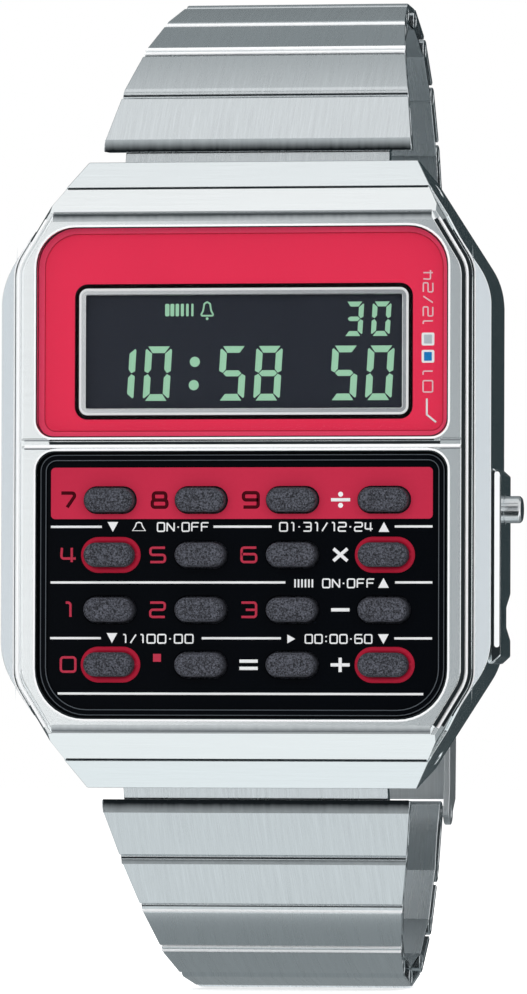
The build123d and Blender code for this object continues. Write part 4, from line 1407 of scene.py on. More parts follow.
@dataclass
class Studio:
    """Camera, plain soft light, pale floor and the cards that the metal reflects."""

    azimuth_deg: float = 10.02
    elevation_deg: float = -1.51
    roll_deg: float = 0.17
    distance_mm: float = 678.8
    lens_mm: float = 355.3
    sensor_mm: float = 36.0
    clip_m: Point = (0.01, 50.0)
    target_mm: Triple = (0.13, 0.0, -1.45)
    floor_gap_mm: float = 0.05
    floor_half_mm: float = 4000.0
    floor_tones: tuple[str, str] = ("EDEDED", "F1F1F1")
    floor_grain_per_mm: float = 0.02
    floor_glow: float = 0.6
    card_gap_mm: float = 0.15
    fill: float = 0.6
    lamps: tuple[SoftBox, ...] = (
        SoftBox("key_soft_box", (-260, -700, 330), 460, 1.5),
        SoftBox("fill_soft_box", (320, -700, 240), 460, 1.05),
        SoftBox("top_soft_box", (60, 60, 640), 420, 1.6),
        SoftBox("rear_soft_box", (-240, 700, 260), 460, 1.1),
    )

    def set_camera(self) -> None:
        """Stands the camera where the photograph was taken."""
        angles = (self.azimuth_deg, self.elevation_deg, self.roll_deg)
        turn, lift, roll = (math.radians(angle) for angle in angles)
        level = math.cos(lift)
        back = Vector((math.sin(turn) * level, -math.cos(turn) * level, math.sin(lift)))
        right = Vector((math.cos(turn), math.sin(turn), 0))
        up = back.cross(right)
        rolled_right = right * math.cos(roll) + up * math.sin(roll)
        rolled_up = up * math.cos(roll) - right * math.sin(roll)
        camera_data = bpy.data.cameras.new("photo_camera")
        camera_data.lens = self.lens_mm
        camera_data.sensor_width = self.sensor_mm
        camera_data.clip_start, camera_data.clip_end = self.clip_m
        camera = bpy.data.objects.new("photo_camera", camera_data)
        place = Matrix((rolled_right, rolled_up, back)).transposed().to_4x4()
        place.translation = Vector(self.target_mm) * MM + back * self.distance_mm * MM
        camera.matrix_world = place
        bpy.context.scene.collection.objects.link(camera)
        bpy.context.scene.camera = camera

    def set_world(self) -> None:
        """Surrounds the watch with white to see and reflect, and a plain fill light."""
        world = bpy.data.worlds.new("studio_surroundings")
        world.use_nodes = True
        bench = NodeBench(world.node_tree)
        bench.tree.nodes.clear()
        shown = shown_rays(bench)
        white, plain = (
            bench.node("ShaderNodeBackground", {}, {"Color": (1, 1, 1, 1), "Strength": strength})
            for strength in (1.0, self.fill)
        )
        feeds = {0: shown, 1: plain.outputs[0], 2: white.outputs[0]}
        both = bench.node("ShaderNodeMixShader", {}, feeds)
        bench.node("ShaderNodeOutputWorld", {}, {"Surface": both.outputs[0]})
        bpy.context.scene.world = world
        bpy.context.scene.view_settings.view_transform = "Standard"

    def add_floor(self) -> None:
        """Lays a pale floor under the bracelet."""
        bench = FinishBench("pale_floor")
        shown = shown_rays(bench)
        grain = bench.noise(even(self.floor_grain_per_mm), detail=1.0)
        tone = bench.blend(grain, *(paint(code) for code in self.floor_tones))
        matt = bench.node("ShaderNodeBsdfDiffuse", {}, {"Color": tone})
        lift = bench.node("ShaderNodeEmission", {}, {"Strength": shown * self.floor_glow})
        both = bench.node("ShaderNodeAddShader", {}, {0: matt.outputs[0], 1: lift.outputs[0]})
        bench.node("ShaderNodeOutputMaterial", {}, {"Surface": both.outputs[0]})
        half = self.floor_half_mm * MM
        level = CAD_BOX[0][2] - self.floor_gap_mm * MM
        corners = [(-half, -half), (half, -half), (half, half), (-half, half)]
        staged_quad("floor", [(x, y, level) for x, y in corners], bench.material)

    def cards(self) -> tuple[Card, ...]:
        """Lists the cards round the watch.

        Returns:
            The cards, of which those on the floor lie just over its level.
        """
        ground = CAD_BOX[0][2] / MM + self.card_gap_mm
        return (
            Card(
                "front_card", (-40, -300, 10), (50, 70), "90969A", (-40, 0, 10), "FFFFFF", (-9, 40)
            ),
            Card("front_high_card", (-80, -300, 121), (200, 40), "2A3032", (-80, 0, 121)),
            Card("right_wing_card", (300, -262, 0), (90, 220), "D9DCE0"),
            Card("left_wing_card", (-373, -143, 0), (90, 220), "D9DCE0"),
            Card("crease_card", (-70, -409, 505), (620, 36), "4A5052"),
            Card("front_floor_card", (0, -115, ground), (200, 86), "2A3032", (0, -115, 100)),
            Card("low_crease_card", (-4, -25.8, ground), (40, 2.6), "848A8C", (-4, -25.8, 100)),
            Card("low_neck_card", (-4, -18.1, ground), (40, 5.0), "FCFEFF", (-4, -18.1, 100)),
            Card("low_hood_card", (0, -3.5, ground), (80, 9.5), "EEF2F3", (0, -3.5, 100)),
            Card("rear_low_card", (0, 33, ground), (300, 27), "949A9C", (0, 33, 100)),
            Card("rear_floor_card", (0, 480, ground), (900, 420), "2E383B", (0, 480, 100)),
            Card("rear_high_card", (0, 560, 470), (900, 540), "949A9C"),
            Card("rear_right_card", (300, 500, 0), (420, 330), "2E383B"),
            Card("rear_left_card", (-300, 500, 0), (420, 330), "2E383B"),
        )

    def build(self) -> None:
        """Sets up everything round the watch."""
        self.set_camera()
        self.set_world()
        self.add_floor()
        cards = self.cards()
        for item in (*self.lamps, *cards):
            item.stand()
        LOG.info("studio: camera, floor, %d lamps and %d cards", len(self.lamps), len(cards))


# Sub-assemblies


@dataclass
class Case:
    """Case body, bezel, back and the parts sealed inside."""

    shop: Workshop
    case_edge_mm: float = 0.06
    bezel_edge_mm: float = 0.03
    back_edge_mm: float = 0.05
    crease_deg: float = 9.0
    opening_half_mm: float = 14.32
    display_corners_mm: Point = (1.25, 2.8)
    keypad_corners_mm: Point = (3.5, 1.4)
    edge_line_mm: float = 0.15
    shadow_line_mm: float = 0.08
    shadow_drop_mm: float = 0.02
    straight_half_mm: float = 14.25
    slant_foot_mm: float = 12.64
    bend_mm: float = 2.6
    slot_z_mm: float = 2.04
    slot_ends_mm: Point = (-13.35, 13.8)
    slot_width_mm: float = 0.2
    slot_depth_mm: float = 0.1
    slot_fill_mm: float = 0.11
    bar_z_mm: float = 1.82
    bar_width_mm: float = 0.23
    bar_ends_mm: Point = (-15.1, 15.2)
    bar_lines_mm: Point = (2.22, 1.64)
    bar_line_width_mm: float = 0.09
    guard_front_mm: float = 6.2
    guard_film_mm: float = 0.015
    # Outline of the painted dark reflection on the pushers' guard, and box of its painted highlight
    guard_recess_mm: tuple[Point, ...] = (
        (17.07, -12.9),
        (17.66, -12.4),
        (17.66, -0.2),
        (17.07, 0.28),
    )
    guard_strip_mm: Box = (17.24, 17.6, -11.9, 0.1)
    guard_strip_corner_mm: float = 0.17
    crease_half_mm: float = 13.15
    seam_half_mm: float = 12.55

    def __post_init__(self) -> None:
        """Reads the height of the bezel's front face."""
        self.front_mm = -box_mm("bezel")[0].y

    def add_hood_lines(self) -> None:
        """Darkens the creases between flats and hoods and the seams across the hoods."""
        seam = box_mm("bezel")[1].z
        crease_half, seam_half = self.crease_half_mm, self.seam_half_mm
        # Graded and mid grey strips of painted shade along the creases, and dark painted shade in
        # the seams
        strips = (
            Strip("upper_crease_shade", "upper_crease", 17.46, crease_half, 0.42, 8.2, 0.01),
            Strip("upper_crease_line", "crease_grey", 17.74, crease_half, 0.14, 8.05, 0.1),
            Strip("upper_crease_soft_shade", "crease_pale", 17.87, crease_half, 0.14, 7.9, 0.1),
            Strip("lower_crease_shade", "lower_crease", -17.47, crease_half, 0.42, 8.2, 0.01),
            Strip("lower_crease_line", "crease_pale", -17.76, crease_half, 0.16, 8.04, 0.1),
            Strip("upper_seam_line", "shade_steel", seam, seam_half, 0.1, 5.93, 0.1),
            Strip("lower_seam_line", "shade_steel", -seam, seam_half, 0.1, 5.93, 0.1),
        )
        for strip in strips:
            self.shop.strip(strip)

    def add_opening_edges(self) -> None:
        """Lays a polished line round both openings of the bezel, with a shadow inside it."""
        openings = (
            ("display_opening_edge", "crystal", self.display_corners_mm),
            ("keypad_opening_edge", "keypad_plate", self.keypad_corners_mm),
        )
        edge, shadow = self.edge_line_mm, self.shadow_line_mm
        # A painted highlight along each opening, and painted shade just inside it
        lines = (
            ("", "edge_steel", edge, edge / 2, self.front_mm),
            ("_shadow", "shade_steel", shadow, -shadow / 2, self.front_mm - self.shadow_drop_mm),
        )
        for name, node, corners in openings:
            low, high = box_mm(node)
            for suffix, finish, width, out, height in lines:
                half = self.opening_half_mm + out
                points = box_loop(-half, half, low.z - out, high.z + out, *corners)
                path = Path(points, True)
                self.shop.line(name + suffix, finish, [path], width, height, thick_mm=FILM_MM)

    def side_path(self, inset: float, end: float, side: int) -> Path:
        """Follows one side of the bezel's outline and its two slanted corners.

        Args:
            inset: Distance inside the outline.
            end: Height on the dial where the path stops, above and below.
            side: 1 for the right and -1 for the left.

        Returns:
            The path, from its lower end.
        """
        corner = box_mm("bezel")[1]
        knee = Vector((corner.x, self.straight_half_mm))
        along = (Vector((self.slant_foot_mm, corner.z)) - knee).normalized()
        start = knee + Vector((-along.y, along.x)) * inset
        bend = start.y + along.y * (corner.x - inset - start.x) / along.x
        end_x = start.x + along.x * (end - start.y) / along.y
        upper = [(corner.x - inset, bend), (end_x, end)]
        whole = [(x, -z) for x, z in reversed(upper)] + upper
        return Path([(side * x, z) for x, z in whole])

    def add_side_lines(self) -> None:
        """Draws the dark and bright lines of the stepped rim and of the seam beside it."""
        # Name, finish, inset, end, width, height, thickness and sides
        lines = (
            ("step_shade_line", "shade_steel", 0.53, 17.3, 0.22, 7.98, 0.2, (1,)),
            ("rim_bright_line", "edge_steel", 0.31, 17.4, 0.22, 7.98, 0.015, (1, -1)),
            ("slope_shade_line", "shade_steel", 0.1, 17.3, 0.2, 7.75, 0.015, (1,)),
            ("seam_shade_line", "shade_steel", -0.015, 16.6, 0.11, 7.2, 0.02, (1, -1)),
            ("wing_bright_line", "edge_steel", -0.12, 16.0, 0.1, 7.19, 0.03, (1, -1)),
        )
        for name, finish, inset, end, width, height, thick, sides in lines:
            paths = [self.side_path(inset, end, side) for side in sides]
            self.shop.line(name, finish, paths, width, height, self.bend_mm, thick)

    def add_ridge_lines(self) -> None:
        """Darkens the slot and the fine lines of the bar between the openings."""
        (left, right), slot_z = self.slot_ends_mm, self.slot_z_mm
        (start, stop), bar_z = self.bar_ends_mm, self.bar_z_mm
        slot = Path([(left, slot_z), (right, slot_z)])
        bar = Path([(start, bar_z), (stop, bar_z)])
        ends = [
            Path([(a, z), (b, z)])
            for z in self.bar_lines_mm
            for a, b in ((start, left), (right, stop))
        ]
        floor = self.front_mm - self.slot_depth_mm
        # Name, finish, paths, width, height and thickness
        lines = (
            ("ridge_slot", "shade_steel", [slot], self.slot_width_mm, floor, self.slot_fill_mm),
            ("ridge_bar", "edge_steel", [bar], self.bar_width_mm, self.front_mm, FILM_MM),
            ("ridge_bar_lines", "grey_line", ends, self.bar_line_width_mm, self.front_mm, FILM_MM),
        )
        for name, finish, paths, width, height, thick in lines:
            self.shop.line(name, finish, paths, width, height, thick_mm=thick)

    def add_guard_lines(self) -> None:
        """Sets the bright strip along the pushers' guard in its dark recess."""
        strip = box_loop(*self.guard_strip_mm, self.guard_strip_corner_mm)
        film, front = self.guard_film_mm, self.guard_front_mm
        self.shop.plate("guard_dark_reflection", "shade_steel", [self.guard_recess_mm], front, film)
        self.shop.plate("guard_highlight", "edge_steel", [strip], front + film, film)

    def build(self) -> None:
        """Dresses the shell, the back and the parts inside."""
        shop, crease = self.shop, self.crease_deg
        shop.soften("case_body", "case_shell", "case_metal", self.case_edge_mm, sharp_deg=crease)
        shop.soften("bezel", "bezel_frame", "bezel_metal", self.bezel_edge_mm, sharp_deg=crease)
        self.add_opening_edges()
        self.add_hood_lines()
        self.add_side_lines()
        self.add_ridge_lines()
        self.add_guard_lines()
        shop.soften("case_back", "back_plate", "back_steel", self.back_edge_mm)
        shop.dress("pusher_steel", "back_screws", "spring_bars")
        shop.dress("gasket_rubber", "back_gasket")
        shop.dress("mat_rubber", "keypad_mat", "display_connector")
        shop.dress("board_green", "circuit_board")
        shop.dress("module_plastic", "module_frame")
        shop.dress("battery_steel", "battery", "battery_strap")
        shop.dress("alarm_brass", "alarm_disc")


@dataclass(frozen=True)
class SegmentDigit:
    """Shape of one seven segment digit, in millimetres, leaning to the right.

    The cut, step, nib and half bar are shares of the stroke.
    """

    width: float
    height: float
    stroke: float
    gap: float = 0.035
    lean: float = 0.06
    cut: float = 0.3
    step: float = 0.18
    nib: float = 0.55
    half_bar: float = 0.45

    def outlines(self, digit: str) -> list[list[Point]]:
        """Lit segments of a digit.

        Args:
            digit: One of the characters in the table of lit segments.

        Returns:
            One closed outline for each lit segment, from the digit's lower left corner.
        """
        lit = {"0": "abcdef", "1": "bc", "3": "abgcd", "5": "afgcd", "8": "abcdefg"}[digit]
        w, h, t, g = self.width, self.height, self.stroke, self.gap
        cut, nib, rise = self.cut * t, self.nib * t, self.half_bar * t
        middle = h / 2
        top = [(g + cut, h), (w - g - cut, h), (w - t - g, h - t), (t + g, h - t)]
        side = [
            (self.step * t, h - cut - g),
            (t, h - t - g),
            (t, middle + nib + g),
            (nib, middle + g),
            (0.0, middle + cut + g),
            (0.0, h - nib),
        ]
        bar = [
            (nib + g, middle),
            (t + g, middle + rise),
            (w - t - g, middle + rise),
            (w - nib - g, middle),
            (w - t - g, middle - rise),
            (t + g, middle - rise),
        ]
        upside = [(x, h - z) for x, z in side]
        shapes = {
            "a": top,
            "d": [(x, h - z) for x, z in top],
            "f": side,
            "e": upside,
            "b": [(w - x, z) for x, z in side],
            "c": [(w - x, z) for x, z in upside],
            "g": bar,
        }
        return [[(x + self.lean * z, z) for x, z in shapes[key]] for key in lit]


@dataclass
class Display:
    """Crystal, red mask, bright frame and the panel with its lit segments."""

    shop: Workshop
    lettering: Lettering
    panel_height_mm: float = 6.85
    mask_height_mm: float = 7.35
    cover_gap_mm: float = 0.06
    cover_bevel_mm: float = 0.45
    cover_film_mm: float = 0.008
    cover_line_mm: float = 0.07
    low_corner_mm: float = 1.25
    high_corner_mm: float = 2.8
    frame_edge_mm: float = 0.08
    frame_corner_mm: float = 0.6
    frame_line_mm: float = 0.17
    surround_mm: float = 0.3
    surround_drop_mm: float = 0.03
    surround_overlap_mm: float = 0.01
    large: SegmentDigit = SegmentDigit(1.84, 3.74, 0.46)
    small: SegmentDigit = SegmentDigit(1.3, 2.36, 0.34)
    large_row_mm: float = 4.98
    small_row_mm: float = 9.37
    hour_starts_mm: Point = (-9.6, -7.11)
    minute_starts_mm: Point = (-1.89, 0.6)
    second_starts_mm: Point = (5.89, 8.36)
    day_starts_mm: Point = (6.86, 8.76)
    colon_mm: tuple[Triple, ...] = ((-3.47, 7.65, 0.35), (-3.54, 6.05, 0.35))
    bars: int = 6
    bars_start_mm: float = -5.55
    bars_pitch_mm: float = 0.365
    bars_ends_mm: Point = (10.78, 11.64)
    bar_width_mm: float = 0.3
    bar_narrowing_mm: float = 0.03
    bell_mm: Point = (-2.62, 10.55)
    bell_half_mm: tuple[Point, ...] = ((0.0, 1.2), (0.2, 1.08), (0.28, 0.6), (0.46, 0.26))
    bell_line_mm: float = 0.12
    bell_bend_mm: float = 0.08
    clapper_mm: Point = (0.06, 0.1)
    squares_mm: Point = (12.36, 13.24)
    square_corners_mm: Point = (0.12, 0.05)
    square_rim_mm: Point = (0.17, 0.14)
    leader_mm: tuple[Point, ...] = ((12.73, 5.06), (12.73, 3.96), (13.37, 3.44))
    leader_line_mm: float = 0.13
    leader_bend_mm: float = 0.02

    def add_segments(self) -> None:
        """Puts the lit digits on the panel's face."""
        rows = (
            (self.large, self.large_row_mm, self.hour_starts_mm, "10"),
            (self.large, self.large_row_mm, self.minute_starts_mm, "58"),
            (self.large, self.large_row_mm, self.second_starts_mm, "50"),
            (self.small, self.small_row_mm, self.day_starts_mm, "30"),
        )
        loops: list[list[Point]] = []
        for shape, low, starts, digits in rows:
            for start, digit in zip(starts, digits):
                for loop in shape.outlines(digit):
                    loops.append([(start + x, low + z) for x, z in loop])
        loops += [disc_loop(*dot) for dot in self.colon_mm]
        self.shop.plate("lit_segments", "segment_green", loops, self.panel_height_mm)

    def add_icons(self) -> None:
        """Puts the row of bars and the small bell on the panel's face."""
        loops = []
        for index in range(self.bars):
            left = self.bars_start_mm + index * self.bars_pitch_mm
            wide = self.bar_width_mm - self.bar_narrowing_mm * index
            loops.append(box_loop(left, left + wide, *self.bars_ends_mm, wide / 3))
        x, z = self.bell_mm
        rise, radius = self.clapper_mm
        loops.append(disc_loop(x, z + rise, radius, steps=12))
        height = self.panel_height_mm
        self.shop.plate("signal_bars", "segment_green", loops, height)
        bell = Path(mirrored(self.bell_half_mm, self.bell_mm), True)
        width, bend = self.bell_line_mm, self.bell_bend_mm
        self.shop.line("alarm_bell", "segment_green", [bell], width, height, bend)

    def add_margin_marks(self) -> None:
        """Prints the colour squares, the leader line and the numbers on the mask's margin."""
        front = self.mask_height_mm
        left, right = self.squares_mm
        rim_corner, core_corner = self.square_corners_mm
        rim_x, rim_z = self.square_rim_mm
        squares = (
            ("blue_square", "label_blue", 7.5, 8.38),
            ("silver_square", "label_silver", 8.68, 9.56),
        )
        for name, finish, low, high in squares:
            rim = box_loop(left, right, low, high, rim_corner)
            core = box_loop(left + rim_x, right - rim_x, low + rim_z, high - rim_z, core_corner)
            self.shop.plate(f"{name}_rim", "rule_white", [rim], front, INK_MM / 2)
            self.shop.plate(name, finish, [core], front)
        leader, width, bend = Path(self.leader_mm), self.leader_line_mm, self.leader_bend_mm
        self.shop.line("margin_leader", "rule_white", [leader], width, front, bend)
        numbers = (
            ("upper_margin_numbers", "12/24", (12.42, 13.18, 9.95, 13.95)),
            ("lower_margin_numbers", "01", (12.42, 13.18, 5.35, 7.2)),
        )
        for name, words, box in numbers:
            self.lettering.write(name, "label_rose", words, box, front, True)

    def add_cover(self) -> None:
        """Lays the clear crystal over the mask, with the lighter edge that its bevel gives."""
        cover = self.shop.soften("crystal", "clear_cover", "crystal", 0.0)
        gap = self.cover_gap_mm * MM
        rear = max(spot.co.y for spot in cover.data.vertices)
        for spot in cover.data.vertices:
            if rear - spot.co.y < gap:
                spot.co.y -= gap
        step, height = self.cover_bevel_mm, self.mask_height_mm
        low_corner, high_corner = self.low_corner_mm, self.high_corner_mm
        # Painted light in a band along the mask's edge under the crystal's bevel, and a dark
        # painted line inside it
        outer = node_loop("display_mask", 0.0, low_corner, high_corner)
        inner = node_loop("display_mask", step, low_corner - step, high_corner - step)
        film = self.cover_film_mm
        self.shop.plate("mask_bevel_light_band", "edge_red", [outer, inner], height, film)
        path, width = Path(inner, True), self.cover_line_mm
        self.shop.line("mask_edge_shade_line", "line_red", [path], width, height, thick_mm=FILM_MM)

    def add_frame(self) -> None:
        """Sets the bright frame with its white outer line in a black surround."""
        node, corner, gap = "display_frame", self.frame_corner_mm, self.surround_mm
        self.shop.soften(node, "display_rim", "frame_silver", self.frame_edge_mm, 3)
        front = -box_mm(node)[0].y
        width = self.frame_line_mm
        # Painted highlight: a white line along the frame's outer edge
        path = Path(node_loop(node, width / 2, corner - width / 2), True)
        self.shop.line("frame_outer_highlight", "rule_white", [path], width, front, thick_mm=FILM_MM)
        inner = node_loop(node, self.surround_overlap_mm, corner)
        ring = [node_loop(node, -gap, corner + gap), inner]
        height = self.mask_height_mm - self.surround_drop_mm
        self.shop.plate("display_surround", "surround_black", ring, height)

    def build(self) -> None:
        """Dresses the display window."""
        self.add_cover()
        self.shop.dress("mask_red", "display_mask")
        self.add_frame()
        self.shop.dress("display_dark", "lcd_panel")
        self.add_segments()
        self.add_icons()
        self.add_margin_marks()


@dataclass
class Keypad:
    """Keypad plate with its printed band, rules, digits and rings, and the sixteen keys."""

    shop: Workshop
    lettering: Lettering
    plate_edge_mm: float = 0.04
    key_edge_mm: float = 0.18
    row_gap_mm: float = 1.0
    label_shift_mm: float = -3.02
    digit_width_mm: float = 1.02
    digit_height_mm: float = 0.98
    digit_line_mm: float = 0.17
    digit_bend_mm: float = 0.18
    dark_line_mm: float = 0.23
    nudge_mm: float = 0.12
    nudged_left_of_mm: float = -8.0
    sign_line_mm: float = 0.23
    divide_dot_mm: Point = (0.38, 0.17)
    decimal_dot_mm: Box = (-0.3, 0.25, 0.2, 0.74)
    rule_line_mm: float = 0.16
    ring_line_mm: float = 0.42
    ring_half_mm: Point = (1.87, 1.02)
    ring_shift_mm: float = 0.06
    ring_round: float = 0.999
    ringed: tuple[str, ...] = ("key_4", "key_multiply", "key_0", "key_plus")
    triangle_mm: Triple = (0.37, 0.33, 0.35)
    bell_mm: Point = (-7.2, -3.71)
    bell_half_mm: tuple[Point, ...] = ((0.0, 0.33), (0.17, 0.29), (0.25, 0.05), (0.45, -0.24))
    bell_line_mm: float = 0.09
    bars: int = 6
    bars_mm: Triple = (3.62, -7.84, -7.28)
    bar_width_mm: float = 0.11
    bar_pitch_mm: float = 0.24
    arrow_mm: tuple[Point, ...] = ((3.15, -11.66), (3.15, -11.06), (3.7, -11.36))
    band_mm: Box = (-13.35, 13.19, -3.15, 0.38)
    band_corner_mm: float = 0.3
    band_hole_mm: Triple = (1.86, 0.955, 0.95)
    rim_mm: float = 0.25
    rim_corners_mm: Point = (3.5, 1.4)
    rim_insets_mm: Point = (0.28, 0.64)
    rim_line_mm: float = 0.06

    def __post_init__(self) -> None:
        """Reads the plate's face, which lies under its raised rim, and the keys' places."""
        self.front_mm = -box_mm("keypad_plate")[0].y
        self.face_mm = self.front_mm - self.rim_mm
        self.keys: dict[str, Point] = {}
        for node in frame["nodes"]:
            if node.startswith("key_"):
                low, high = box_mm(node)
                middle = (low + high) / 2
                self.keys[node] = (middle.x, middle.z)
        top_row = max(z for _, z in self.keys.values()) - self.row_gap_mm
        self.top_keys = [node for node, (_, z) in self.keys.items() if z > top_row]

    def add_marks(self) -> None:
        """Prints the digit or sign at the left of each key."""
        half_x, half_z = self.digit_width_mm / 2, self.digit_height_mm / 2
        for node, (x, z) in self.keys.items():
            label = node.removeprefix("key_")
            top = node in self.top_keys
            if not label.isdigit():
                finish, width, bend = "rule_white", self.sign_line_mm, 0.0
            elif top:
                finish, width, bend = "digit_maroon", self.dark_line_mm, self.digit_bend_mm
            else:
                finish, width, bend = "digit_red", self.digit_line_mm, self.digit_bend_mm
            nudged = label.isdigit() and (top or x < self.nudged_left_of_mm)
            middle = x + self.label_shift_mm + (self.nudge_mm if nudged else 0.0)
            paths = [
                Path([(middle + a * half_x, z + b * half_z) for a, b in points], closed)
                for points, closed in PEN_PATHS.get(label, [])
            ]
            if paths:
                self.shop.line(f"mark_{label}", finish, paths, width, self.face_mm, bend)

    def add_dots(self) -> None:
        """Prints the two dots of the division sign and the decimal point."""
        x, z = self.keys["key_divide"]
        away, radius = self.divide_dot_mm
        dots = [disc_loop(x + self.label_shift_mm, z + side * away, radius) for side in (1, -1)]
        self.shop.plate("divide_dots", "rule_white", dots, self.face_mm)
        x, z = self.keys["key_decimal"]
        x += self.label_shift_mm
        left, right, low, high = self.decimal_dot_mm
        dot = box_loop(x + left, x + right, z + low, z + high)
        self.shop.plate("decimal_dot", "digit_red", [dot], self.face_mm)

    def add_rings(self) -> None:
        """Prints a red ring round four of the keys."""
        half_x, half_z = self.ring_half_mm
        rings = []
        for node in self.ringed:
            x, z = self.keys[node]
            x += self.ring_shift_mm
            # A full round would make two points coincide at each end
            corner = half_z * self.ring_round
            ring = box_loop(x - half_x, x + half_x, z - half_z, z + half_z, corner)
            rings.append(Path(ring, True))
        self.shop.line("key_rings", "ring_red", rings, self.ring_line_mm, self.face_mm)

    def add_band(self) -> None:
        """Prints the red band behind the top row, open round its keys."""
        loops = [box_loop(*self.band_mm, self.band_corner_mm)]
        half_x, half_z, corner = self.band_hole_mm
        for node in self.top_keys:
            x, z = self.keys[node]
            loops.append(box_loop(x - half_x, x + half_x, z - half_z, z + half_z, corner))
        self.shop.plate("red_band", "band_red", loops, self.face_mm, INK_MM / 2)

    def add_rules(self) -> None:
        """Prints the white rules and the small triangles that point at the rows."""
        rows = {
            -3.68: ((-13.35, -9.79), (-2.0, 2.04), (10.57, 13.18)),
            -7.5: ((-13.36, 3.0), (10.6, 13.18)),
            -11.32: ((-13.38, -9.83), (-2.8, 2.7), (10.56, 13.17)),
            -15.12: ((-12.83, 12.57),),
        }
        rules = [Path([(a, z), (b, z)]) for z, spans in rows.items() for a, b in spans]
        self.shop.line("white_rules", "rule_white", rules, self.rule_line_mm, self.face_mm)
        # Centre of each triangle, and 1 where it points up
        marks = (
            (-9.02, -3.68, -1),
            (9.82, -3.72, 1),
            (9.8, -7.54, 1),
            (-9.06, -11.3, -1),
            (9.8, -11.36, -1),
        )
        half, foot, tip = self.triangle_mm
        loops = []
        for x, z, way in marks:
            base = z - foot * way
            loops.append([(x - half, base), (x + half, base), (x, z + tip * way)])
        self.shop.plate("row_triangles", "rule_white", loops, self.face_mm)

    def add_words(self) -> None:
        """Prints the numbers, switch words and signs in the gaps of the white rules."""
        words = (
            ("alarm_switch_words", "ON·OFF", (-6.0, -2.25, -4.04, -3.36)),
            ("calendar_numbers", "01·31/12·24", (2.5, 9.15, -4.04, -3.36)),
            ("signal_switch_words", "ON·OFF", (5.5, 9.25, -7.9, -7.22)),
            ("stopwatch_numbers", "1/100·00", (-8.45, -3.3, -11.7, -11.02)),
            ("timer_numbers", "00:00·60", (4.3, 9.1, -11.7, -11.02)),
        )
        for name, label, box in words:
            self.lettering.write(name, "rule_white", label, box, self.face_mm)
        bell = Path(mirrored(self.bell_half_mm, self.bell_mm), True)
        self.shop.line("alarm_sign", "rule_white", [bell], self.bell_line_mm, self.face_mm)
        start, low, high = self.bars_mm
        lefts = [start + self.bar_pitch_mm * index for index in range(self.bars)]
        signs = [box_loop(left, left + self.bar_width_mm, low, high) for left in lefts]
        signs.append(list(self.arrow_mm))
        self.shop.plate("small_signs", "rule_white", signs, self.face_mm)

    def add_rim_lines(self) -> None:
        """Draws the two grey lines that the plate's raised rim catches."""
        paths = []
        for inset in self.rim_insets_mm:
            corners = (corner - inset for corner in self.rim_corners_mm)
            paths.append(Path(node_loop("keypad_plate", inset, *corners), True))
        width, front = self.rim_line_mm, self.front_mm
        self.shop.line("keypad_rim_highlights", "rim_grey", paths, width, front, thick_mm=FILM_MM)

    def build(self) -> None:
        """Dresses the keypad."""
        self.shop.soften("keypad_plate", "keypad_panel", "keypad_black", self.plate_edge_mm)
        for node in self.keys:
            self.shop.soften(node, f"{node}_cap", "key_rubber", self.key_edge_mm, 3)
        self.add_band()
        self.add_rings()
        self.add_rules()
        self.add_marks()
        self.add_dots()
        self.add_words()
        self.add_rim_lines()


@dataclass
class Pushers:
    """Side pushers and their springs."""

    shop: Workshop
    edge_mm: float = 0.06

    def build(self) -> None:
        """Dresses the pushers."""
        for node in ("mode_pusher", "adjust_pusher"):
            self.shop.soften(node, f"{node}_head", "pusher_steel", self.edge_mm)
        self.shop.dress("pusher_steel", "pusher_springs")


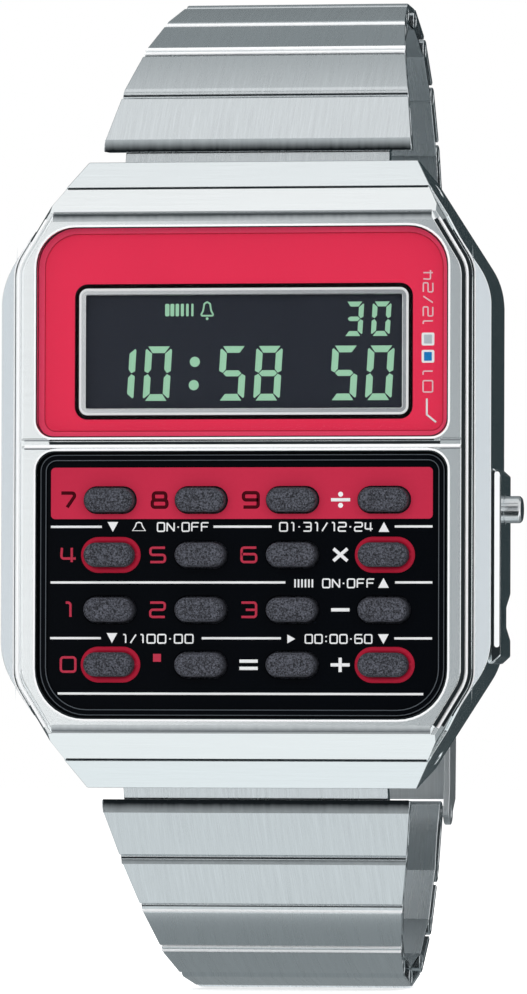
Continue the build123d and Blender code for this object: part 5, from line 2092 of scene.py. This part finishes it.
@dataclass
class Bracelet:
    """Folded links of both halves and the sliding clasp behind the wrist."""

    shop: Workshop
    link_edge_mm: float = 0.07
    clasp_edge_mm: float = 0.06
    links_per_half: int = 9
    clasp_nodes: tuple[str, ...] = (
        "ladder_plate",
        "clasp_base",
        "lock_lever",
        "clasp_blade",
        "clasp_cover",
    )

    def add_fold_lines(self) -> None:
        """Lays the dark and the burnished lines along the folds of the front links."""
        # Name, which starts with the link's own, finish, low and high edge, half and height
        folds = (
            ("upper_link_1_fold", "first_fold", 22.4, 23.25, 10.7, 2.105),
            ("upper_link_1_end", "shade_steel", 26.42, 26.54, 10.0, -0.99),
            ("upper_link_2_end", "edge_steel", 29.58, 29.78, 9.2, -4.65),
            ("upper_link_3_roll", "edge_steel", 29.78, 30.1, 9.2, -4.88),
            ("upper_link_3_end", "edge_steel", 31.72, 32.06, 8.5, -8.86),
            ("lower_link_1_fold", "low_fold", -23.3, -22.38, 10.7, 2.105),
            ("lower_link_1_end", "shade_steel", -26.5, -26.38, 10.0, -1.05),
            ("lower_link_2_fold", "second_fold", -26.88, -26.52, 10.0, -1.12),
            ("lower_link_2_end", "shade_steel", -29.86, -29.75, 9.2, -4.46),
            ("lower_link_3_roll", "edge_steel", -30.24, -29.88, 9.2, -4.53),
            ("lower_link_3_end", "edge_steel", -32.76, -32.55, 8.5, -8.26),
            ("lower_link_4_roll", "edge_steel", -33.08, -32.76, 8.5, -8.4),
        )
        for name, finish, low, high, half, height in folds:
            link = name.rpartition("_")[0]
            middle, width = (low + high) / 2, high - low
            self.shop.strip(Strip(name, finish, middle, half, width, height, body=link))

    def build(self) -> None:
        """Dresses the links and the clasp."""
        self.add_fold_lines()
        for half in ("upper", "lower"):
            for index in range(1, self.links_per_half + 1):
                node = f"{half}_link_{index}"
                self.shop.soften(node, f"{node}_sheet", "link_steel", self.link_edge_mm)
        for node in self.clasp_nodes:
            self.shop.soften(node, f"{node}_steel", "clasp_steel", self.clasp_edge_mm)


def main() -> None:
    """Builds the scene in order."""
    logging.basicConfig(level=logging.INFO, format="%(name)s: %(message)s")
    Studio().build()
    shop = Workshop(Finishes().make_all(), FlatLine())
    lettering = Lettering(shop)
    for assembly in (
        Case(shop),
        Display(shop, lettering),
        Keypad(shop, lettering),
        Pushers(shop),
        Bracelet(shop),
    ):
        LOG.info("%s: %s", type(assembly).__name__, assembly.__doc__)
        assembly.build()


if __name__ == "__main__":
    main()
